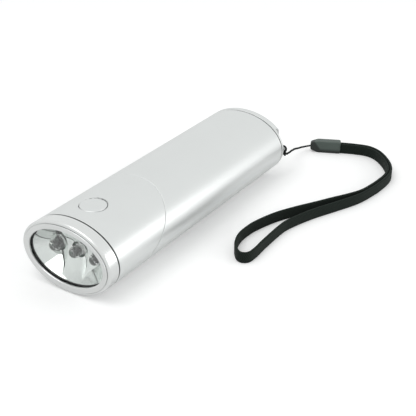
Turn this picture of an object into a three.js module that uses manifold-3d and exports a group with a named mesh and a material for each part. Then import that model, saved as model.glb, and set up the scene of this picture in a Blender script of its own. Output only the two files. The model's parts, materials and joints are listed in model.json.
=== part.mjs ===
// A hand crank flashlight: an oval tube that lies on its wide side, cut in two by a slanted plane.
// Its head turns against its handle on that plane, which is the crank, and drives a small generator.
// Millimetres. X is the width, Y the length with the lens at -Y, Z is up from the surface it lies on.
import * as THREE from 'three';
import { mergeVertices } from 'three/addons/utils/BufferGeometryUtils.js';
import Module from 'manifold-3d';

const wasm = await Module();
wasm.setup();

// Body
const BODY_WIDTH = 48;
const BODY_HEIGHT = 33.5;
const BODY_LENGTH = 147;
const WALL = 1.6;
const FIT = 0.3;
const SEAM_GAP = 0.3;
const OVAL_SIDES = 40;
const ROUND_SIDES = 24;
const SMALL_SIDES = 12;
const OVERRUN = 2;
const WELD = 1e-5;

// Bezel and lens
const BEZEL_LENGTH = 6.8;
const BEZEL_LIP_WIDTH = 4;
const BEZEL_LIP_DEPTH = 1.2;
const BEZEL_EDGE_ROUND = 1.2;
const BEZEL_SPIGOT_LENGTH = 1.5;
const SPIGOT_LENGTH = 4.6;
const SPIGOT_WALL = 1.3;
const LENS_THICKNESS = 1.4;
const GASKET_THICKNESS = 0.6;
const GASKET_WIDTH = 2.3;

// Reflector and lamps
const REFLECTOR_DEPTH = 6;
const REFLECTOR_FLANGE = 1;
const REFLECTOR_SKIN = 0.9;
const CUP_STEPS = 5;
const LAMP_COUNT = 3;
const LAMP_PITCH = 11;
const LAMP_RADIUS = 2.5;
const LAMP_FLANGE_RADIUS = 2.9;
const LAMP_FLANGE = 1;
const LAMP_LENGTH = 6.6;
const LAMP_BOARD_THICKNESS = 1.2;

// Push button and switch
const BUTTON_RADIUS = 6;
const BUTTON_FROM_RIM = 20.4;
const BUTTON_CROWN = 0.35;
const BUTTON_HEIGHT = 4;
const BUTTON_FLANGE_WIDTH = 1.1;
const BUTTON_FLANGE = 1.2;
const BUTTON_TRAVEL = 0.8;
const BUTTON_GROOVE = 0.5;
const PLUNGER_RADIUS = 1.7;
const PLUNGER_LENGTH = 3.1;
const SWITCH_WIDTH = 6.2;
const SWITCH_HEIGHT = 3.6;
const SWITCH_FLOOR = 1.3;
const SWITCH_BOARD_WIDTH = 28;
const SWITCH_BOARD_LENGTH = 9.6;
const SWITCH_BOARD_THICKNESS = 1.2;

// Twist joint
const JOINT_LOW_FROM_RIM = 18;
const JOINT_GAP = 0.4;
const BULKHEAD_SETBACK = 2;
const BULKHEAD_THICKNESS = 1.8;
const RAIL_WIDTH = 2.4;
const RAIL_HEIGHT = 2.6;
const RAIL_SPREAD = 24;
const PIVOT_RADIUS = 4;
const PIVOT_BORE = 2.6;
const PIVOT_FLANGE_WIDTH = 2.5;
const PIVOT_FLANGE = 1.2;
const PIVOT_GROOVE = 0.4;
const CLIP_THICKNESS = 0.5;
const CLIP_WIDTH = 2.2;
const BUSH_WALL = 1.5;
const SEAL_WIDTH = 1.3;
const SEAL_SETBACK = 3.2;
const SLIP_BOARD_RADIUS = 13;
const SLIP_BOARD_THICKNESS = 0.8;
const SLIP_RING_WIDTH = 2;
const SLIP_RING_THICKNESS = 0.5;
const SLIP_RING_STEP = 3;
const BRUSH_RADIUS = 0.8;

// Gear train, from the drive gear to the generator
const PLATE_THICKNESS = 1.6;
const FRONT_PLATE_SETBACK = 1.2;
const GEAR_WIDTH = 2;
const GEAR_STEP = 0.5;
const TRAIN_CLEARANCE = 1.4;
const PRESSURE_ANGLE = 20;
const BACKLASH = 0.1;
const DRIVE_TEETH = 30;
const PINION_TEETH = 10;
const WHEEL_1_TEETH = 28;
const WHEEL_2_TEETH = 24;
const PINION_SHIFT = 0.4;
const COMPOUND_1_DROP_SHARE = 0.325;
const COMPOUND_1_REACH_SHARE = 0.204;
const COMPOUND_2_DROP_SHARE = 0.4;
const PIN_RADIUS = 1.5;
const HUB_RADIUS = 2.6;
const PILLAR_RADIUS = 1.4;
const PILLAR_1_ANGLE = -10;
const PILLAR_3_ANGLE = 10;

// Generator
const GENERATOR_CLEARANCE = 0.2;
const GENERATOR_LENGTH = 11;
const GENERATOR_WALL = 0.7;
const ROTOR_SHAFT_RADIUS = 1;
const ROTOR_AIR_GAP = 0.6;
const MAGNET_END_GAP = 1.3;
const COIL_THICKNESS = 2.2;

// Battery, charge board and end cap
const CELL_GAP = 0.7;
const CELL_HEIGHT_SHARE = 0.39;
const GENERATOR_TO_BATTERY = 5.1;
const CELL_NUB_RADIUS = 1.9;
const CELL_NUB = 1;
const CELL_COUNT = 3;
const CELL_DROP = 1;
const CRADLE_WALL = 1.2;
const CRADLE_END = 2.2;
const CONTACT_THICKNESS = 0.5;
const CONTACT_HEIGHT = 9;
const CHARGE_BOARD_WIDTH = 30;
const CHARGE_BOARD_THICKNESS = 1.6;
const CAPACITOR_RADIUS = 2.5;
const CAPACITOR_LENGTH = 11;
const END_CAP_LENGTH = 5;
const END_CAP_ROUND = 2.2;
const END_CAP_FLANGE = 1.15;
const CAP_CUT_FROM_SIDE = 5.1;
const SCREW_RADIUS = 1;
const SCREW_HEAD_RADIUS = 2.2;
const SCREW_HEAD = 1.4;
const SCREW_SPREAD = 18.4;
const SCREW_SINK = 0.4;

// Strap
const EYELET_BAR = 1.2;
const EYELET_ARM = 0.8;
const EYELET_THICKNESS = 1.4;
const CORD_DIAMETER = 0.8;
const KNOT_RADIUS = 1.2;
const KNOT_DROP = 2.6;
const SLEEVE_LENGTH = 16.5;
const SLEEVE_HEIGHT = 6;
const SLEEVE_THICKNESS = 5;
const SLEEVE_TAPER = 5;
const SLEEVE_MOUTH_SHARE = 0.58;
const BAND_WIDTH = 5;
const BAND_THICKNESS = 1.3;
const BAND_STEPS = 80;
const CORD_STEPS = 18;

// Places that follow from the sizes above
const HALF_WIDTH = BODY_WIDTH / 2;
const HALF_HEIGHT = BODY_HEIGHT / 2;
const RIM_Y = -BODY_LENGTH / 2;
const REAR_Y = BODY_LENGTH / 2;
const BEZEL_SEAM_Y = RIM_Y + BEZEL_LENGTH;
const REAR_SEAM_Y = REAR_Y - END_CAP_LENGTH;
// The joint plane's tilt makes its cut through the oval a circle, so that the two halves match
// at every turn; its low end lies under the button
const TILT = Math.acos(BODY_HEIGHT / BODY_WIDTH);
const JOINT_Y = RIM_Y + JOINT_LOW_FROM_RIM + HALF_HEIGHT * Math.tan(TILT);
const SPIGOT_INSET = WALL + FIT;
const SPIGOT_INNER = SPIGOT_INSET + SPIGOT_WALL;
const INNER_HALF_WIDTH = HALF_WIDTH - WALL;
const GEAR_MODULE = (INNER_HALF_WIDTH - TRAIN_CLEARANCE) / DRIVE_TEETH;
const GENERATOR_RADIUS = INNER_HALF_WIDTH / 2 - GENERATOR_CLEARANCE;
const CELL_PITCH = INNER_HALF_WIDTH / 2;
const CELL_ROOM = Math.min(CELL_PITCH / 2, (HALF_HEIGHT - WALL) * CELL_HEIGHT_SHARE);
const CELL_RADIUS = CELL_ROOM - CELL_GAP / 2;

// Finishes
const finish = (color, roughness, metalness, extra = {}) =>
  new THREE.MeshStandardMaterial({ color, roughness, metalness, ...extra });
const satinSilver = () => finish(0xd3d6d6, 0.35, 0.55);
const brightSilver = () => finish(0xdfe1e1, 0.22, 0.75);
const chrome = () => finish(0xe6e8e8, 0.05, 1);
const clearPlastic = () => finish(0xf4f8f8, 0.04, 0, { transparent: true, opacity: 0.35 });
const lampEpoxy = () => finish(0xf2f4ee, 0.1, 0);
const blackRubber = () => finish(0x1b1d1d, 0.8, 0);
const whitePlastic = () => finish(0xe9e9e4, 0.5, 0);
const darkPlastic = () => finish(0x26282a, 0.5, 0);
const steel = () => finish(0xb9bcbe, 0.3, 1);
const brass = () => finish(0xc8a24c, 0.3, 1);
const greenBoard = () => finish(0x1f5a3a, 0.45, 0);
const blackCord = () => finish(0x17191a, 0.85, 0);
const blackBand = () => finish(0x15171a, 0.9, 0);

// Solids: a closed geometry becomes a manifold-3d solid for the joins and cuts, and comes back
const toSolid = (geometry) => {
  const bare = geometry.clone();
  bare.deleteAttribute('normal');
  bare.deleteAttribute('uv');
  const merged = mergeVertices(bare, WELD);
  return new wasm.Manifold(new wasm.Mesh({
    numProp: 3,
    vertProperties: new Float32Array(merged.attributes.position.array),
    triVerts: new Uint32Array(merged.index.array),
  }));
};

const toGeometry = (solid) => {
  const mesh = solid.getMesh();
  const geometry = new THREE.BufferGeometry();
  geometry.setAttribute('position', new THREE.BufferAttribute(mesh.vertProperties, 3));
  geometry.setIndex(new THREE.BufferAttribute(mesh.triVerts, 1));
  return geometry;
};

const cut = (geometry, ...tools) =>
  toGeometry(tools.reduce((solid, tool) => solid.subtract(toSolid(tool)), toSolid(geometry)));
const join = (...geometries) =>
  toGeometry(geometries.map(toSolid).reduce((solid, other) => solid.add(other)));
const common = (...geometries) =>
  toGeometry(geometries.map(toSolid).reduce((solid, other) => solid.intersect(other)));

const node = (parent, name, geometry, material, x = 0, y = 0, z = 0) => {
  const mesh = new THREE.Mesh(geometry, material);
  mesh.name = name;
  mesh.position.set(x, y, z);
  parent.add(mesh);
  return mesh;
};

// Oval solids: rings round the body's own oval at the stations [y, inset], joined in turn.
// A closed run of stations makes a ring, an open one is capped at both ends.
const ovalSolid = (stations, closed = false) => {
  const stretch = 1 / Math.cos(Math.PI / OVAL_SIDES);
  const positions = [];
  for (const [y, inset] of stations) {
    for (let side = 0; side < OVAL_SIDES; side += 1) {
      const angle = (side + 0.5) * 2 * Math.PI / OVAL_SIDES;
      const x = stretch * (HALF_WIDTH - inset) * Math.cos(angle);
      const z = HALF_HEIGHT + stretch * (HALF_HEIGHT - inset) * Math.sin(angle);
      positions.push(x, y, z);
    }
  }
  const faces = [];
  const runs = closed ? stations.length : stations.length - 1;
  for (let run = 0; run < runs; run += 1) {
    const here = run * OVAL_SIDES;
    const next = ((run + 1) % stations.length) * OVAL_SIDES;
    for (let side = 0; side < OVAL_SIDES; side += 1) {
      const after = (side + 1) % OVAL_SIDES;
      faces.push(here + side, here + after, next + after);
      faces.push(here + side, next + after, next + side);
    }
  }
  if (!closed) {
    const last = (stations.length - 1) * OVAL_SIDES;
    for (let side = 1; side < OVAL_SIDES - 1; side += 1) {
      faces.push(0, side + 1, side);
      faces.push(last, last + side, last + side + 1);
    }
  }
  if (signedVolume(positions, faces) < 0) {
    faces.reverse();
  }
  const geometry = new THREE.BufferGeometry();
  geometry.setAttribute('position', new THREE.Float32BufferAttribute(positions, 3));
  geometry.setIndex(faces);
  return geometry;
};

const signedVolume = (positions, faces) => {
  const corner = (index) => new THREE.Vector3().fromArray(positions, 3 * index);
  let volume = 0;
  for (let face = 0; face < faces.length; face += 3) {
    const [a, b, c] = faces.slice(face, face + 3).map(corner);
    volume += a.dot(b.cross(c));
  }
  return volume;
};

const ovalPlate = (front, back, inset) => ovalSolid([[front, inset], [back, inset]]);
const ovalTube = (front, back, outer, inner) =>
  ovalSolid([[front, outer], [back, outer], [back, inner], [front, inner]], true);

// Round solids about their own Z axis, or about Y or the vertical through a point
const drum = (radius, bottom, top, sides = ROUND_SIDES) =>
  new THREE.CylinderGeometry(radius, radius, top - bottom, sides)
    .rotateX(Math.PI / 2)
    .translate(0, 0, (bottom + top) / 2);

const turned = (profile, sides = ROUND_SIDES) =>
  new THREE.LatheGeometry(profile.map(([radius, z]) => new THREE.Vector2(radius, z)), sides)
    .rotateX(Math.PI / 2);

const ringAbout = (outer, inner, bottom, top, sides = ROUND_SIDES) =>
  turned([[inner, bottom], [outer, bottom], [outer, top], [inner, top], [inner, bottom]], sides);

const circleProfile = (centre, radius, sides = 8) => {
  const points = [];
  for (let side = 0; side <= sides; side += 1) {
    const angle = side / sides * 2 * Math.PI;
    points.push([centre + radius * Math.cos(angle), radius * Math.sin(angle)]);
  }
  return points;
};

const alongY = (geometry) => geometry.rotateX(-Math.PI / 2);

const block = (x0, x1, y0, y1, z0, z1) =>
  new THREE.BoxGeometry(x1 - x0, y1 - y0, z1 - z0)
    .translate((x0 + x1) / 2, (y0 + y1) / 2, (z0 + z1) / 2);

// The joint's own frame: Z is the twist axis, out of the head into the handle, and X stays X
const jointMatrix = new THREE.Matrix4()
  .makeRotationX(-(Math.PI / 2 + TILT))
  .setPosition(0, JOINT_Y, HALF_HEIGHT);
const inJoint = (geometry) => geometry.applyMatrix4(jointMatrix);
const jointSlab = (from, to) => {
  const reach = BODY_LENGTH;
  return inJoint(block(-reach, reach, -reach, reach, from, to));
};

const torch = new THREE.Group();
const head = new THREE.Group();
const handle = new THREE.Group();
const headAxis = new THREE.Group();
const handleAxis = new THREE.Group();
torch.add(head, handle);
head.add(headAxis);
handle.add(handleAxis);
for (const axis of [headAxis, handleAxis]) {
  axis.position.set(0, JOINT_Y, HALF_HEIGHT);
  axis.rotation.x = -(Math.PI / 2 + TILT);
}

// Bezel: a ring with a rounded front edge, a lip that holds the lens and a bore for the spigot
const bezelBack = BEZEL_SEAM_Y - SEAM_GAP / 2;
const lipBack = RIM_Y + BEZEL_LIP_DEPTH;
const roundStations = (edgeY, radius, direction, steps = 4) => {
  const stations = [];
  for (let step = 0; step <= steps; step += 1) {
    const angle = step / steps * Math.PI / 2;
    const along = radius * (1 - Math.sin(angle));
    stations.push([edgeY + direction * along, radius * (1 - Math.cos(angle))]);
  }
  return stations;
};
const bezelChamfer = (BEZEL_LIP_WIDTH - BEZEL_EDGE_ROUND) / 3;
const bezelRing = ovalSolid([
  [bezelBack, 0],
  ...roundStations(RIM_Y, BEZEL_EDGE_ROUND, 1),
  [RIM_Y, BEZEL_LIP_WIDTH - bezelChamfer],
  [RIM_Y + bezelChamfer, BEZEL_LIP_WIDTH],
  [lipBack, BEZEL_LIP_WIDTH],
  [lipBack, WALL],
  [bezelBack, WALL],
], true);
node(head, 'bezel_ring', bezelRing, brightSilver());

const lensFront = lipBack + FIT;
const lensBack = lensFront + LENS_THICKNESS;
node(head, 'lens', ovalPlate(lensFront, lensBack, SPIGOT_INSET), clearPlastic());

const gasketFront = lensBack + FIT;
const gasketBack = gasketFront + GASKET_THICKNESS;
const gasketInset = SPIGOT_INSET + GASKET_WIDTH;
const gasket = ovalTube(gasketFront, gasketBack, SPIGOT_INSET, gasketInset);
node(head, 'lens_gasket', gasket, blackRubber());

// Reflector: a flange behind the gasket and three dished cups that run into one another
const reflectorFront = gasketBack + FIT;
const reflectorBack = reflectorFront + REFLECTOR_DEPTH;
const reflectorBodyInset = SPIGOT_INNER + FIT;
const cupInset = reflectorBodyInset + REFLECTOR_SKIN;
const lampHoleRadius = LAMP_FLANGE_RADIUS + FIT;
const cupRadius = HALF_HEIGHT - cupInset + REFLECTOR_SKIN;
const lampX = (index) => (index - (LAMP_COUNT - 1) / 2) * LAMP_PITCH;
const cupTool = (x) => {
  const profile = [[0, -OVERRUN]];
  for (let step = 0; step <= CUP_STEPS; step += 1) {
    const share = step / CUP_STEPS;
    const squared = cupRadius ** 2 + (lampHoleRadius ** 2 - cupRadius ** 2) * share;
    profile.push([Math.sqrt(squared), share * REFLECTOR_DEPTH]);
  }
  profile.splice(1, 0, [cupRadius, -OVERRUN]);
  profile.push([lampHoleRadius, REFLECTOR_DEPTH + OVERRUN]);
  profile.push([0, REFLECTOR_DEPTH + OVERRUN]);
  return alongY(turned(profile)).translate(x, reflectorFront, HALF_HEIGHT);
};
const flangeBack = reflectorFront + REFLECTOR_FLANGE;
const reflectorBlank = ovalSolid([
  [reflectorFront, SPIGOT_INSET],
  [flangeBack, SPIGOT_INSET],
  [flangeBack, reflectorBodyInset],
  [reflectorBack, reflectorBodyInset],
]);
const cupMouths = ovalPlate(reflectorFront - 2 * OVERRUN, reflectorBack + 2 * OVERRUN, cupInset);
const cupTools = Array.from({ length: LAMP_COUNT }, (_, index) => cupTool(lampX(index)));
node(head, 'reflector', cut(reflectorBlank, common(join(...cupTools), cupMouths)), chrome());

// Lamps: domed bodies that stand on the lamp board and reach into the cups
const lampBoardFront = reflectorBack + FIT + LAMP_FLANGE + FIT;
const lampBoardBack = lampBoardFront + LAMP_BOARD_THICKNESS;
const lampBase = lampBoardFront - FIT;
const lampShape = () => {
  const profile = [[0, 0], [LAMP_FLANGE_RADIUS, 0], [LAMP_FLANGE_RADIUS, LAMP_FLANGE]];
  const domeStart = LAMP_LENGTH - LAMP_RADIUS;
  profile.push([LAMP_RADIUS, LAMP_FLANGE]);
  profile.push([LAMP_RADIUS, domeStart]);
  for (const angle of [Math.PI / 6, Math.PI / 3]) {
    const rise = LAMP_RADIUS * Math.sin(angle);
    profile.push([LAMP_RADIUS * Math.cos(angle), domeStart + rise]);
  }
  profile.push([0, LAMP_LENGTH]);
  return turned(profile, SMALL_SIDES).rotateX(Math.PI / 2);
};
['led_left', 'led_centre', 'led_right'].forEach((name, index) => {
  node(head, name, lampShape(), lampEpoxy(), lampX(index), lampBase, HALF_HEIGHT);
});
node(head, 'led_board', ovalPlate(lampBoardFront, lampBoardBack, SPIGOT_INSET), greenBoard());

// Head casing: the oval tube with its spigot, cut by the joint plane and bored for the button
const BUTTON_Y = RIM_Y + BUTTON_FROM_RIM;
const BUTTON_TOP = BODY_HEIGHT;
const buttonHole = BUTTON_RADIUS + FIT;
const casingFront = BEZEL_SEAM_Y + SEAM_GAP / 2;
const spigotFront = casingFront - BEZEL_SPIGOT_LENGTH;
const headBlank = ovalSolid([
  [spigotFront, SPIGOT_INSET],
  [casingFront, SPIGOT_INSET],
  [casingFront, 0],
  [REAR_Y, 0],
  [REAR_Y, WALL],
  [casingFront + SPIGOT_WALL, WALL],
  [casingFront, SPIGOT_INNER],
  [spigotFront, SPIGOT_INNER],
], true);
const buttonBore = turned([
  [0, BODY_HEIGHT - 3 * WALL],
  [buttonHole, BODY_HEIGHT - 3 * WALL],
  [buttonHole, BODY_HEIGHT - BUTTON_GROOVE],
  [buttonHole + BUTTON_GROOVE, BODY_HEIGHT],
  [buttonHole + BUTTON_GROOVE, BODY_HEIGHT + OVERRUN],
  [0, BODY_HEIGHT + OVERRUN],
]).translate(0, BUTTON_Y, 0);
const headFar = -JOINT_GAP / 2 - BODY_LENGTH;
const headCasing = common(cut(headBlank, buttonBore), jointSlab(headFar, -JOINT_GAP / 2));
node(head, 'head_casing', headCasing, satinSilver());

// Push button: a slightly domed cap with a flange below that keeps it in its hole
const buttonBottom = BUTTON_TOP - BUTTON_HEIGHT;
const buttonEdge = BUTTON_TOP - BUTTON_CROWN;
const flangeTop = buttonBottom + BUTTON_FLANGE;
const buttonShape = turned([
  [0, buttonBottom],
  [BUTTON_RADIUS + BUTTON_FLANGE_WIDTH, buttonBottom],
  [BUTTON_RADIUS + BUTTON_FLANGE_WIDTH, flangeTop],
  [BUTTON_RADIUS, flangeTop],
  [BUTTON_RADIUS, buttonEdge - BUTTON_CROWN],
  [BUTTON_RADIUS - BUTTON_CROWN, buttonEdge],
  [BUTTON_RADIUS / 2, BUTTON_TOP - BUTTON_CROWN / 4],
  [0, BUTTON_TOP],
]);
node(head, 'push_button', buttonShape, satinSilver(), 0, BUTTON_Y, 0);

const plungerTop = buttonBottom - FIT;
const plungerBottom = plungerTop - PLUNGER_LENGTH;
const plungerShape = drum(PLUNGER_RADIUS, plungerBottom, plungerTop, SMALL_SIDES);
node(head, 'switch_plunger', plungerShape, darkPlastic(), 0, BUTTON_Y, 0);

// Switch: a square housing with a pocket that takes the plunger's travel
const pocketFloor = plungerBottom - BUTTON_TRAVEL - FIT;
const switchBottom = pocketFloor - SWITCH_FLOOR;
const switchBody = cut(
  block(-SWITCH_WIDTH / 2, SWITCH_WIDTH / 2, -SWITCH_WIDTH / 2, SWITCH_WIDTH / 2,
    switchBottom, switchBottom + SWITCH_HEIGHT),
  drum(PLUNGER_RADIUS + FIT, pocketFloor, switchBottom + SWITCH_HEIGHT + OVERRUN, SMALL_SIDES),
);
node(head, 'tact_switch', switchBody, darkPlastic(), 0, BUTTON_Y, 0);
const switchBoardTop = switchBottom - FIT;
const switchBoardBottom = switchBoardTop - SWITCH_BOARD_THICKNESS;
const switchBoard = block(-SWITCH_BOARD_WIDTH / 2, SWITCH_BOARD_WIDTH / 2,
  -SWITCH_BOARD_LENGTH / 2, SWITCH_BOARD_LENGTH / 2, switchBoardBottom, switchBoardTop);
node(head, 'switch_board', switchBoard, greenBoard(), 0, BUTTON_Y, 0);

// Head frame: a bulkhead parallel to the joint, with two rails that carry both boards
const bulkheadBack = -BULKHEAD_SETBACK;
const bulkheadFront = bulkheadBack - BULKHEAD_THICKNESS;
const innerOval = () => ovalPlate(spigotFront, REAR_Y, SPIGOT_INSET);
const railTop = switchBoardBottom - FIT;
const rail = (side) => {
  const centre = side * RAIL_SPREAD / 2;
  return block(centre - RAIL_WIDTH / 2, centre + RAIL_WIDTH / 2, lampBoardBack + FIT, JOINT_Y,
    railTop - RAIL_HEIGHT, railTop);
};
const headSide = jointSlab(headFar, bulkheadBack);
const bulkhead = common(innerOval(), jointSlab(bulkheadFront, bulkheadBack));
const rails = [-1, 1].map((side) => common(rail(side), headSide));
const pivotHole = inJoint(
  drum(PIVOT_RADIUS + FIT, bulkheadFront - OVERRUN, bulkheadBack + OVERRUN),
);
node(head, 'head_frame', cut(join(bulkhead, ...rails), pivotHole), whitePlastic());

// Levels along the twist axis, from the joint plane into the handle
const frontPlateFront = FRONT_PLATE_SETBACK;
const frontPlateBack = frontPlateFront + PLATE_THICKNESS;
const driveFront = frontPlateBack + GEAR_STEP;
const driveBack = driveFront + GEAR_WIDTH;
const clipFront = driveBack + FIT;
const clipBack = clipFront + CLIP_THICKNESS;
const pivotEnd = clipBack + PIVOT_GROOVE;
const wheel1Front = pivotEnd + GEAR_STEP;
const wheel1Back = wheel1Front + GEAR_WIDTH;
const wheel2Front = wheel1Back + GEAR_STEP;
const wheel2Back = wheel2Front + GEAR_WIDTH;
const backPlateFront = wheel2Back + GEAR_STEP;
const backPlateBack = backPlateFront + PLATE_THICKNESS;
const generatorFront = backPlateBack + FIT;
const generatorBack = generatorFront + GENERATOR_LENGTH;

// Pivot: a hollow axle fixed in the bulkhead, with a groove for the clip that keeps the head on
const pivotFlangeBack = bulkheadFront - FIT;
const pivotFlangeFront = pivotFlangeBack - PIVOT_FLANGE;
const grooveRadius = PIVOT_RADIUS - PIVOT_GROOVE;
const pivotShape = turned([
  [PIVOT_BORE, pivotFlangeFront],
  [PIVOT_RADIUS + PIVOT_FLANGE_WIDTH, pivotFlangeFront],
  [PIVOT_RADIUS + PIVOT_FLANGE_WIDTH, pivotFlangeBack],
  [PIVOT_RADIUS, pivotFlangeBack],
  [PIVOT_RADIUS, clipFront - FIT / 3],
  [grooveRadius, clipFront - FIT / 3],
  [grooveRadius, clipBack + FIT / 3],
  [PIVOT_RADIUS, clipBack + FIT / 3],
  [PIVOT_RADIUS, pivotEnd],
  [PIVOT_BORE, pivotEnd],
  [PIVOT_BORE, pivotFlangeFront],
]);
node(headAxis, 'pivot_tube', pivotShape, steel());
const clipInner = grooveRadius + FIT;
const clipShape = ringAbout(clipInner + CLIP_WIDTH, clipInner, clipFront, clipBack);
node(headAxis, 'pivot_clip', clipShape, steel());

// Slip rings on the head's side, and the brushes that meet them on the handle's side
const ringBack = -JOINT_GAP / 4;
const ringFront = ringBack - SLIP_RING_THICKNESS;
const slipBoardBack = ringFront - FIT;
const slipBoardFront = slipBoardBack - SLIP_BOARD_THICKNESS;
const slipBoard = ringAbout(SLIP_BOARD_RADIUS, PIVOT_RADIUS + FIT, slipBoardFront, slipBoardBack);
node(headAxis, 'slip_ring_board', slipBoard, greenBoard());
const slipRadius = (index) => PIVOT_RADIUS + PIVOT_FLANGE_WIDTH + index * SLIP_RING_STEP;
['inner', 'outer'].forEach((place, index) => {
  const inside = slipRadius(index);
  const ring = ringAbout(inside + SLIP_RING_WIDTH, inside, ringFront, ringBack);
  node(headAxis, `slip_ring_${place}`, ring, brass());
  const brush = drum(BRUSH_RADIUS, ringBack + FIT, frontPlateFront - FIT, SMALL_SIDES);
  node(handleAxis, `contact_brush_${place}`, brush, brass(), inside + SLIP_RING_WIDTH / 2, 0, 0);
});

// Gears: involute teeth, with the pinions' profile shifted out and the wheels' shifted in
const radians = (degrees) => degrees * Math.PI / 180;
const involute = (angle) => Math.tan(angle) - angle;
const pitchRadius = (teeth) => GEAR_MODULE * teeth / 2;
const tipRadius = (teeth, shift) => pitchRadius(teeth) + GEAR_MODULE * (1 + shift);
const gearOutline = (teeth, shift, phase) => {
  const pressure = radians(PRESSURE_ANGLE);
  const base = pitchRadius(teeth) * Math.cos(pressure);
  const tip = tipRadius(teeth, shift) - BACKLASH;
  const root = pitchRadius(teeth) - GEAR_MODULE * (1.25 - shift);
  const thickness = GEAR_MODULE * (Math.PI / 2 + 2 * shift * Math.tan(pressure)) - BACKLASH;
  const halfAtPitch = thickness / 2 / pitchRadius(teeth);
  const flankStart = Math.max(base, root);
  const halfAt = (radius) =>
    halfAtPitch + involute(pressure) - involute(Math.acos(Math.min(1, base / radius)));
  const flank = [flankStart, (flankStart + tip) / 2, tip].map((radius) => [radius, halfAt(radius)]);
  if (root < flankStart) {
    flank.unshift([root, halfAt(flankStart)]);
  }
  const points = [];
  const at = (radius, angle) => {
    points.push(new THREE.Vector2(radius * Math.cos(angle), radius * Math.sin(angle)));
  };
  for (let tooth = 0; tooth < teeth; tooth += 1) {
    const centre = phase + tooth * 2 * Math.PI / teeth;
    flank.forEach(([radius, half]) => at(radius, centre - half));
    [...flank].reverse().forEach(([radius, half]) => at(radius, centre + half));
  }
  return points;
};
const gear = (teeth, shift, phase, from, to) =>
  new THREE.ExtrudeGeometry(new THREE.Shape(gearOutline(teeth, shift, phase)),
    { depth: to - from, bevelEnabled: false }).translate(0, 0, from);

// The phase that brings a gear into mesh with its driver, seen along the line between their axes
const meshedPhase = (driverTeeth, driverPhase, teeth, direction) => {
  const share = (direction - driverPhase) / (2 * Math.PI / driverTeeth);
  return direction + Math.PI - (0.5 - share) * 2 * Math.PI / teeth;
};
const meshDistance = (wheelTeeth) => pitchRadius(wheelTeeth) + pitchRadius(PINION_TEETH);
const placeFrom = (start, distance, direction) =>
  new THREE.Vector2(distance, 0).rotateAround(new THREE.Vector2(), direction).add(start);
// The direction that brings the next axis to the given y, on the side of +X or -X
const directionTo = (start, wheelTeeth, y, side) => {
  const rise = Math.asin((y - start.y) / meshDistance(wheelTeeth));
  return side > 0 ? rise : -Math.PI - rise;
};
// The casing's middle lies further down the slope at each level, and the rotor lies in it
const rotorY = -Math.tan(TILT) * (generatorFront + generatorBack) / 2;
const drivePlace = new THREE.Vector2(0, 0);
const firstDistance = meshDistance(DRIVE_TEETH);
const compound1Y = rotorY * COMPOUND_1_DROP_SHARE - firstDistance * COMPOUND_1_REACH_SHARE;
const toFirst = directionTo(drivePlace, DRIVE_TEETH, compound1Y, -1);
const compound1 = placeFrom(drivePlace, firstDistance, toFirst);
const compound2Y = compound1.y + (rotorY - compound1.y) * COMPOUND_2_DROP_SHARE;
const toSecond = directionTo(compound1, WHEEL_1_TEETH, compound2Y, 1);
const compound2 = placeFrom(compound1, meshDistance(WHEEL_1_TEETH), toSecond);
const toRotor = directionTo(compound2, WHEEL_2_TEETH, rotorY, -1);
const rotorPlace = placeFrom(compound2, meshDistance(WHEEL_2_TEETH), toRotor);
const phase1 = meshedPhase(DRIVE_TEETH, 0, PINION_TEETH, toFirst);
const phase2 = meshedPhase(WHEEL_1_TEETH, 0, PINION_TEETH, toSecond);
const phaseRotor = meshedPhase(WHEEL_2_TEETH, 0, PINION_TEETH, toRotor);

const driveGear = cut(
  gear(DRIVE_TEETH, -PINION_SHIFT, 0, driveFront, driveBack),
  drum(PIVOT_RADIUS + FIT, driveFront - OVERRUN, driveBack + OVERRUN),
);
node(headAxis, 'drive_gear', driveGear, whitePlastic());

const compoundGear = (pinionPhase, wheelTeeth, pinionFront, wheelFront, hubBack) => {
  const wheelBack = wheelFront + GEAR_WIDTH;
  const blank = join(
    gear(PINION_TEETH, PINION_SHIFT, pinionPhase, pinionFront, wheelFront + GEAR_WIDTH / 2),
    gear(wheelTeeth, -PINION_SHIFT, 0, wheelFront, wheelBack),
    drum(HUB_RADIUS, wheelFront + GEAR_WIDTH / 2, hubBack, SMALL_SIDES),
  );
  return cut(blank, drum(PIN_RADIUS + FIT, pinionFront - OVERRUN, hubBack + OVERRUN, SMALL_SIDES));
};
const hubBack = backPlateFront - FIT;
const firstGear = compoundGear(phase1, WHEEL_1_TEETH, driveFront, wheel1Front, hubBack);
const secondGear = compoundGear(phase2, WHEEL_2_TEETH, wheel1Front, wheel2Front, hubBack);
node(handleAxis, 'compound_gear_1', firstGear, whitePlastic(), compound1.x, compound1.y, 0);
node(handleAxis, 'compound_gear_2', secondGear, whitePlastic(), compound2.x, compound2.y, 0);
[compound1, compound2].forEach((place, index) => {
  const pin = drum(PIN_RADIUS, frontPlateFront, backPlateBack - FIT, SMALL_SIDES);
  node(handleAxis, `gear_pin_${index + 1}`, pin, steel(), place.x, place.y, 0);
});

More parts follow.
